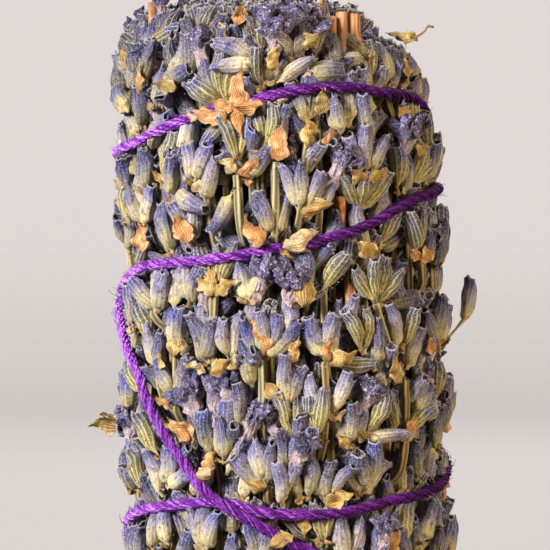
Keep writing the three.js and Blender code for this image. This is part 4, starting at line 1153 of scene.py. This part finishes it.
cup_tone = over(between(mottle(8200.0, 2.0), 0.58, 0.70, 0.0, 0.45), cup_tone, dye(104, 88, 72), "MULTIPLY")
felt_body = node("BsdfPrincipled", {
    "Base Color": cup_tone, "Roughness": 0.82, "Normal": relief(wool, 0.7, 0.00008),
    "Sheen Weight": 0.4, "Sheen Roughness": 0.45, "Sheen Tint": dye(232, 230, 232)})
felt_body.inputs["Specular IOR Level"].default_value = 0.25
shade_from(felt_body)

for name in sorted(set(owner)):
    parts = []
    for level in (FULL, PLAIN, HIDDEN):
        chosen = np.flatnonzero((owner == name) & (grade == level))
        if len(chosen):
            parts.append(cup_meshes(chosen, level, draw))
            if level == FULL:
                parts.append(cup_hairs(chosen, draw))
    piece_of(f"{name}_cups", parts, felt, name)


# Withered petals ----------------------------------------------------------------------------------
# Some cups still hold their flower: a pinkish cream tube that spreads into five lobes, shrivelled and
# crumpled dark violet blue as they dried.
PETAL_SEED = 31
PETAL_SIDES = 48
SIDE_LIMIT = 21.0
TOP_LIMIT = 103
PETAL_LINE = [
    (-0.9, 0.50), (-0.3, 0.56), (0.2, 0.62), (0.7, 0.66), (1.1, 0.72), (1.5, 0.92), (1.85, 1.18), (2.2, 1.38),
    (2.55, 1.44), (2.85, 1.34), (3.0, 1.08), (2.85, 0.84), (2.5, 0.66), (2.1, 0.46), (1.7, 0.26)]
draw = np.random.default_rng(PETAL_SEED)


def kept_in(points):
    """Presses whatever stands out past the bundle's sides back against it."""
    far = np.hypot(points[..., 0] - AXIS_X, points[..., 1] - AXIS_Y)
    height = points[..., 2]
    held = np.where(far > SIDE_LIMIT, SIDE_LIMIT + 0.3 * (far - SIDE_LIMIT), far) / far
    height = np.where(height > TOP_LIMIT, TOP_LIMIT + 0.4 * (height - TOP_LIMIT), height)
    x = AXIS_X + (points[..., 0] - AXIS_X) * held
    y = AXIS_Y + (points[..., 1] - AXIS_Y) * held
    return np.stack([x, y, height], axis=-1)


def petal_meshes(chosen, draw):
    """The withered flowers of the chosen cups: a tube that opens out into five crumpled lobes."""
    count = len(chosen)
    way = tip_at[chosen] - foot_at[chosen]
    way = way / np.linalg.norm(way, axis=1)[:, None]
    u, v = cross_ways(way, draw)
    size = 1.1 * each(petal_size[chosen])
    line = np.array(PETAL_LINE)
    up = line[None, :, 0:1]
    spread = smooth(line[:, 0], 0.9, 2.3)[None, :, None]
    a = np.linspace(0, 2 * math.pi, PETAL_SIDES, endpoint=False)[None, None]
    phase = each(draw.uniform(0, 2 * math.pi, (3, count)))
    shut = each(draw.uniform(0.62, 1.0, count))
    reach = line[None, :, 1:2] * (1 + spread * (shut - 1))
    fold = np.sin(9 * a + 2.1 * up + phase[0]) + 0.8 * np.sin(14 * a - 3.0 * up + phase[1]) \
        + 0.7 * np.sin(21 * a + 4.0 * up + phase[2])
    reach = reach * (1 + 0.26 * spread * np.cos(5 * a + phase[0]) + 0.24 * spread * np.cos(3 * a + phase[1])
                     + (0.05 + 0.08 * spread) * fold)
    rise = up + 0.30 * spread * np.cos(2 * a + phase[2]) + 0.22 * spread * np.cos(5 * a + phase[1]) \
        + 0.10 * spread * fold
    bent = each(draw.uniform(-0.35, 0.35, (2, count))) * np.maximum(up, 0) ** 1.5 * 0.4
    rings = laid_out(tip_at[chosen], (size * (reach * np.cos(a) + bent[0]), u),
                     (size * (reach * np.sin(a) + bent[1]), v), (size * rise, way))
    rings = crumple(crumple(rings, 1.1, 0.17, draw), 0.5, 0.13, draw)
    rings = kept_in(rings)
    ends = np.stack([rings[:, 0].mean(axis=1), rings[:, -1].mean(axis=1)], axis=1)
    reach_mark = np.concatenate([np.repeat(np.clip(line[:, 0] / 2.6, 0, 1), PETAL_SIDES), [0, 0.4]])
    tint = draw.uniform(0.55, 1.0, count) - 0.55 * (petal_size[chosen] > 1)
    marks = {"along": np.tile(reach_mark, count), "tint": np.repeat(tint, len(reach_mark))}
    return many_alike(rings, ends, len(line), PETAL_SIDES, marks)


shrivelled, tree = new_finish("shrivelled petal")
wrinkle_and_painted_light = mottle(2000.0, 4.0, Roughness=0.75, Distortion=2.0)
# The lobes and the tube follow the wrinkle pattern that also raises their relief: painted shade in its hollows
# and painted highlight on its ridges, over the lobes' own dark violet blue and the tube's pinkish cream.
lobe = ramp(wrinkle_and_painted_light, (0.42, (24, 16, 44)), (0.48, (70, 60, 116)), (0.55, (132, 122, 160)),
            (0.62, (210, 200, 214)))
lobe = over(between(marked("tint"), 0.3, 1.0, 0.0, 0.8), lobe, dye(112, 104, 148), "MULTIPLY")
petal_tube = ramp(wrinkle_and_painted_light, (0.3, (120, 92, 104)), (0.62, (226, 204, 204)))
petal_tone = over(between(marked("along"), 0.30, 0.62), petal_tube, lobe)
petal_body = node("BsdfPrincipled", {
    "Base Color": petal_tone, "Roughness": 0.6, "Normal": relief(wrinkle_and_painted_light, 1.0, 0.00030),
    "Sheen Weight": 0.2, "Sheen Roughness": 0.5, "Sheen Tint": dye(220, 214, 240)})
shade_from(petal_body)

for name in sorted(set(owner[petal_size > 0])):
    chosen = np.flatnonzero((owner == name) & (petal_size > 0))
    piece_of(f"{name}_petals", [petal_meshes(chosen, draw)], shrivelled, name)


# Bracts -------------------------------------------------------------------------------------------
# A papery, veined, pointed scale sits under every whorl and clasps its cups. Dried, the bracts are amber,
# ochre or olive, and they have curled and split away from the stem where the string pulled them about.
BRACT_SEED = 37
BRACT_ROWS = 15
BRACT_COLUMNS = 11
BRACT_OUTLINE = ([0, 0.08, 0.2, 0.34, 0.46, 0.6, 0.74, 0.87, 1.0],
                 [0.26, 0.52, 0.84, 1.0, 0.97, 0.80, 0.50, 0.22, 0.03])
AMBER, OCHRE, GREENISH, PALE = 0.1, 0.45, 0.75, 0.95
# Bracts by their pixel in the photograph, with lean in degrees, length and shade.
PHOTO_BRACTS = [
    (262, 358, -8, 4.6, AMBER), (276, 160, 10, 4.6, AMBER), (309, 145, -2, 3.8, OCHRE),
    (305, 306, -3, 4.4, OCHRE), (322, 114, 6, 3.2, GREENISH), (302, 214, 74, 3.8, OCHRE),
    (176, 356, -14, 4.0, OCHRE), (138, 254, -4, 3.8, AMBER), (139, 94, 4, 3.2, OCHRE),
    (124, 70, -10, 3.0, OCHRE), (270, 71, 18, 3.2, OCHRE), (301, 48, 56, 3.4, GREENISH),
    (208, 26, 118, 3.6, GREENISH), (214, 44, 70, 1.8, AMBER), (176, 88, -74, 3.4, GREENISH),
    (214, 292, -52, 3.0, OCHRE), (215, 292, 58, 3.0, OCHRE), (212, 290, -18, 3.0, OCHRE),
    (420, 258, -62, 2.8, AMBER), (420, 258, 62, 2.8, AMBER), (434, 350, -46, 3.0, AMBER),
    (328, 360, 2, 2.6, AMBER), (330, 364, 68, 3.8, OCHRE), (290, 364, 22, 3.4, OCHRE),
    (280, 403, -34, 3.2, OCHRE), (399, 384, -16, 3.6, OCHRE), (405, 436, 34, 3.0, AMBER),
    (194, 440, -56, 4.2, AMBER), (200, 470, 38, 3.0, OCHRE), (266, 489, -66, 3.0, OCHRE),
    (327, 505, 68, 3.6, OCHRE), (303, 514, 176, 2.8, OCHRE), (268, 545, 66, 3.4, OCHRE),
    (393, 552, 2, 4.0, AMBER), (376, 256, -58, 3.6, OCHRE), (206, 372, -58, 3.0, PALE),
    (210, 373, 56, 3.2, OCHRE), (226, 367, 60, 2.8, OCHRE), (192, 190, 60, 2.6, PALE),
    (237, 172, -60, 2.8, PALE), (238, 173, 56, 3.0, AMBER), (188, 242, -24, 3.8, AMBER),
    (417, 154, 56, 2.8, OCHRE), (412, 124, -40, 3.6, OCHRE), (368, 180, 66, 3.0, OCHRE),
    (366, 180, -58, 3.0, OCHRE), (238, 26, 14, 3.0, AMBER), (414, 84, -8, 3.2, OCHRE),
    (326, 420, -66, 2.4, PALE), (328, 420, 60, 2.2, PALE), (168, 405, -60, 2.4, AMBER),
    (158, 370, 20, 2.6, OCHRE), (196, 478, 60, 2.2, PALE), (350, 449, -40, 2.6, OCHRE)]
PHOTO_LOOSE_BRACTS = [
    (232, 110, 14, 5.0, AMBER), (231, 108, 84, 3.8, AMBER), (233, 110, -72, 2.8, AMBER),
    (232, 108, 158, 3.2, AMBER), (226, 118, -84, 4.2, AMBER), (196, 122, -60, 2.2, PALE),
    (263, 246, -34, 3.8, AMBER), (284, 247, 62, 4.2, PALE), (280, 250, 118, 1.8, OCHRE),
    (196, 478, 60, 2.6, PALE), (268, 545, 66, 3.4, OCHRE), (186, 440, -40, 3.2, AMBER)]
draw = np.random.default_rng(BRACT_SEED)
bracts = {key: [] for key in ("owner", "foot", "way", "out", "length", "width", "tint", "free")}


def add_bract(angle, height, depth, fan, tilt, length, shade, width=None):
    """One bract, rooted that deep in the bundle. Its half width is given as a share of its length."""
    out = local_ways(angle)[0]
    flat = fanned(angle, fan)
    tilt = math.radians(tilt)
    pressed = depth > 0
    root = in_bundle(angle, height, depth)[0] if pressed else on_bundle(angle, height, outline(height) - depth)
    put_down(bracts, lane_name(angle), root, math.cos(tilt) * flat + math.sin(tilt) * out,
             math.cos(tilt) * out - math.sin(tilt) * flat, length, width or draw.uniform(0.19, 0.30), shade,
             False)


for across, up, lean, length, shade in PHOTO_BRACTS:
    angle, height = seen_at(across, up, 0.4)
    add_bract(angle, height, 0.3, shown_fan(lean, angle), draw.uniform(3, 10), 1.05 * length,
              shade + draw.uniform(-0.06, 0.05), width=draw.uniform(0.27, 0.38))
for across, up, lean, length, shade in PHOTO_LOOSE_BRACTS:
    angle, height = seen_at(across, up, -0.3)
    add_bract(angle, height, -0.15, shown_fan(lean, angle), draw.uniform(-4, 4), 1.15 * length, shade,
              width=draw.uniform(0.22, 0.30))
# The leaf at the left and the withered bract at the top right: root, end, the way they face, shade and width.
LEAF_AND_WITHERED = [
    ("outer_spike_13", (-19.0, 0.6, 47.4), (-24.2, 0.2, 47.0), (0.1, -0.95, 0.3), 0.66, 0.28),
    ("outer_spike_13", (-19.4, 0.2, 47.2), (-22.6, -0.6, 48.0), (0.1, -0.6, 0.8), 0.52, 0.24),
    ("outer_spike_04", (16.2, -8.2, 94.2), (12.1, -8.4, 94.9), (0.1, -0.9, 0.3), 0.74, 0.17),
    ("outer_spike_04", (16.2, -8.2, 94.2), (12.9, -8.8, 94.2), (0.0, -0.7, 0.7), 0.62, 0.20)]
for name, root, end, face, shade, width in LEAF_AND_WITHERED:
    along = np.array(end) - np.array(root)
    size = np.linalg.norm(along)
    across_leaf = np.cross(along / size, face)
    out = np.cross(across_leaf, along / size) / np.linalg.norm(across_leaf)
    put_down(bracts, name, np.array(root), along / size, out, size, width, shade, True)
for name, angle, height in whorl_spots:
    in_photo = from_front(angle) < FRONT_REACH and height > PHOTO_FOOT
    if in_photo:
        for fan in (-66, -38, 34, 64):
            if draw.uniform() < 0.45:
                add_bract(angle, height - 0.2, draw.uniform(0.8, 1.6), fan + draw.uniform(-16, 16),
                          draw.uniform(2, 30), draw.uniform(0.9, 1.9),
                          draw.choice([AMBER, PALE, PALE, OCHRE]) + draw.uniform(-0.08, 0.05))
        continue
    for fan in (draw.uniform(-14, 14), -48, 46):
        if draw.uniform() < 0.75:
            add_bract(angle, height - 0.3, 1.1, fan + draw.uniform(-14, 14), draw.uniform(2, 16),
                      draw.uniform(2.2, 3.8), draw.uniform())


def bract_meshes(chosen, draw):
    """The chosen bracts, each a thin cupped, keeled and curled leaf with torn edges."""
    count = len(chosen)
    foot_point, way, out, length, width, tint, free = (
        np.array(bracts[key])[chosen] for key in ("foot", "way", "out", "length", "width", "tint", "free"))
    side = np.cross(way, out)
    length = each(length)
    v = np.linspace(0, 1, BRACT_ROWS)[None, :, None]
    half = np.linspace(-1, 1, BRACT_COLUMNS)
    u = np.concatenate([half, half[::-1]])[None, None]
    face = np.concatenate([np.ones(BRACT_COLUMNS), -np.ones(BRACT_COLUMNS)])[None, None]
    wide = np.interp(v, *BRACT_OUTLINE) * length * each(width)
    phase = each(draw.uniform(0, 2 * math.pi, (4, count)))
    cup = each(draw.uniform(-0.45, 0.15, count))
    keel = each(draw.uniform(-0.85, 0.25, count))
    curl = each(draw.uniform(-0.50, 0.45, count))
    roll = each(draw.uniform(-0.9, 0.9, count)) * v
    tear = 1 - 0.35 * np.maximum(np.sin(11 * v + phase[3] + 1.5 * np.sign(u)), 0) ** 4 * (np.abs(u) > 0.75)
    x = u * wide * tear * (1 + 0.20 * np.sin(8 * v + phase[0] + 2 * np.sign(u)))
    veins = np.cos(4.5 * math.pi * u + 0.8 * np.sin(5 * v + phase[1]))
    y = (cup * u ** 2 + keel * np.abs(u)) * wide + curl * length * (v - 0.3) ** 2 \
        + 0.045 * length * np.sin(5 * v + phase[1] + 1.5 * u) \
        + 0.07 * length * np.abs(u) ** 2 * np.sin(13 * v + phase[2] + 2.2 * np.sign(u)) \
        + 0.012 * veins * (1 - np.abs(u) ** 4) + 0.025 * face
    x, y = x * np.cos(roll) - y * np.sin(roll), x * np.sin(roll) + y * np.cos(roll)
    z = v * length * (1 - 0.05 * u ** 2)
    rings = laid_out(foot_point, (x, side), (y, out), (z, way))
    rings = crumple(crumple(rings, 1.3, 0.10, draw), 0.7, 0.035, draw)
    rings = np.where(free[:, None, None, None], rings, kept_in(rings))
    ends = np.stack([rings[:, 0].mean(axis=1), rings[:, -1].mean(axis=1)], axis=1)
    sides = 2 * BRACT_COLUMNS
    across_mark = np.concatenate([np.tile(u.ravel(), BRACT_ROWS), [0, 0]])
    along_mark = np.concatenate([np.repeat(v.ravel(), sides), [0, 1]])
    edge_mark = np.concatenate([np.tile(np.abs(u.ravel()), BRACT_ROWS), [1, 1]])
    marks = {"across": np.tile(across_mark, count), "along": np.tile(along_mark, count),
             "edge": np.tile(edge_mark, count), "tint": np.repeat(tint, len(along_mark))}
    return many_alike(rings, ends, BRACT_ROWS, sides, marks)


papery, tree = new_finish("papery bract")
bract_edge = marked("edge")
blotch = mottle(900.0, 4.0)
crinkle = mottle(3600.0, 3.0)
bract_vein = reckon("SINE", reckon("MULTIPLY_ADD", marked("across"), 31.0, reckon("MULTIPLY", blotch, 2.0)))
bract_tone = ramp(marked("tint"), (0.0, (210, 134, 62)), (0.25, (196, 134, 64)), (0.45, (182, 148, 62)),
                  (0.62, (156, 132, 58)), (0.78, (134, 130, 56)), (0.88, (206, 180, 128)),
                  (1.0, (222, 194, 150)))
bract_tone = over(between(blotch, 0.44, 0.62, 0.0, 0.7), bract_tone, dye(128, 80, 36))
# Pale patches, partly the paler papery parts and partly painted highlight.
bract_tone = over(between(blotch, 0.46, 0.32, 0.0, 0.6), bract_tone, dye(240, 204, 150))
bract_tone = over(between(bract_vein, 0.4, 1.0, 0.0, 0.30), bract_tone, dye(250, 224, 178))
bract_tone = over(between(bract_vein, -0.5, -1.0, 0.0, 0.45), bract_tone, dye(150, 104, 60), "MULTIPLY")
bract_tone = over(between(bract_edge, 0.60, 0.86, 0.0, 0.4), bract_tone, dye(242, 212, 168))
bract_tone = over(between(bract_edge, 0.88, 1.0, 0.0, 0.8), bract_tone, dye(112, 66, 30))
bract_tone = over(between(marked("along"), 0.16, 0.0, 0.0, 0.5), bract_tone, dye(120, 78, 40))
bract_tone = over(between(crinkle, 0.56, 0.72, 0.0, 0.5), bract_tone, dye(104, 66, 34))
bract_relief = relief(reckon("MULTIPLY_ADD", bract_vein, 0.14, crinkle), 1.0, 0.00014)
bract_body = node("BsdfPrincipled", {
    "Base Color": bract_tone, "Roughness": 0.58, "Normal": bract_relief, "Subsurface Weight": 0.15,
    "Subsurface Scale": 0.0008, "Subsurface Radius": (1.0, 0.55, 0.25)})
shade_from(bract_body)

bract_owner = np.array(bracts["owner"])
for name in sorted(set(bract_owner)):
    chosen = np.flatnonzero(bract_owner == name)
    piece_of(f"{name}_bracts", [bract_meshes(chosen, draw)], papery, name)


# Woody stems --------------------------------------------------------------------------------------
# Six older stems stand among the flowers, round, woody and reddish brown, with fine cracked bark and cut
# ends. Two broken lengths of the same wood are caught between the flowers, and four more stand at the top.
WOOD_SEED = 43
WOOD_SIDES = 14
draw = np.random.default_rng(WOOD_SEED)


def woody_length(line, width, draw):
    """A length of old stem, round and lumpy, cut off at both ends."""
    out, side = outward_of(line)
    around = np.linspace(0, 2 * math.pi, WOOD_SIDES, endpoint=False)
    lumps = 1 + 0.05 * np.sin(3 * around + draw.uniform(0, 6))[None] \
        + 0.06 * np.sin(np.arange(len(line)) * 0.55 + draw.uniform(0, 6))[:, None] \
        + draw.uniform(-0.03, 0.03, (len(line), WOOD_SIDES))
    reach = 0.5 * width * lumps
    rings = rings_round(line, reach, around[None], out, side)
    marks = {"cut": np.concatenate([np.zeros(len(line) * WOOD_SIDES), [1, 1]]), "tint": draw.uniform()}
    return closed_tube(line, rings, marks)


bark, tree = new_finish("woody stem")
grain = mottle(1.0, 5.0, stretch=(3200, 3200, 260))
wood_tone = ramp(grain, (0.36, (60, 32, 16)), (0.5, (162, 100, 52)), (0.66, (216, 158, 102)))
wood_tone = over(between(marked("tint"), 0.0, 1.0, 0.0, 0.4), wood_tone, dye(170, 140, 112))
wood_tone = over(marked("cut"), wood_tone, dye(238, 190, 140))
wood_body = node("BsdfPrincipled", {
    "Base Color": wood_tone, "Roughness": 0.66, "Normal": relief(grain, 0.8, 0.00012)})
shade_from(wood_body)

broken_lengths = [([(313, 160), (322, 147), (333, 131)], 1.2, 1.1),
                  ([(354, 318), (350, 290), (347, 250), (340, 196)], 2.3, 1.35)]
standing_lengths = [([(5.9, -14.2, 84), (5.8, -14.0, 91), (5.7, -13.4, 96.4)], 1.3),
                    ([(7.3, -13.2, 84), (7.1, -13.0, 91), (7.0, -12.6, 97.0)], 1.35),
                    ([(8.7, -12.4, 84), (8.5, -12.2, 91), (8.4, -11.8, 96.8)], 1.8),
                    ([(-14.9, -11.2, 87), (-15.5, -10.0, 93), (-15.8, -9.0, 98.4)], 1.15)]
for number in range(1, 7):
    name = f"woody_stem_{number:02d}"
    solid = np.array([v.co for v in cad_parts[name].data.vertices]) * 1000
    height = np.linspace(solid[:, 2].min(), solid[:, 2].max(), 90)
    middle = [np.polyval(np.polyfit(solid[:, 2], solid[:, axis], 6), height) for axis in (0, 1)]
    lengths = [woody_length(np.stack([*middle, height], axis=1), 1.3, draw)]
    if number == 1:
        for seen, depth, width in broken_lengths:
            laid = evenly([seen_at(*pixel, depth) for pixel in seen], 0.6)
            lengths.append(woody_length(in_bundle(laid[:, 0], laid[:, 1], depth), width, draw))
        for points, width in standing_lengths:
            lengths.append(woody_length(evenly(points, 0.6), width, draw))
    piece_of(f"{name}_bark", lengths, bark, name)
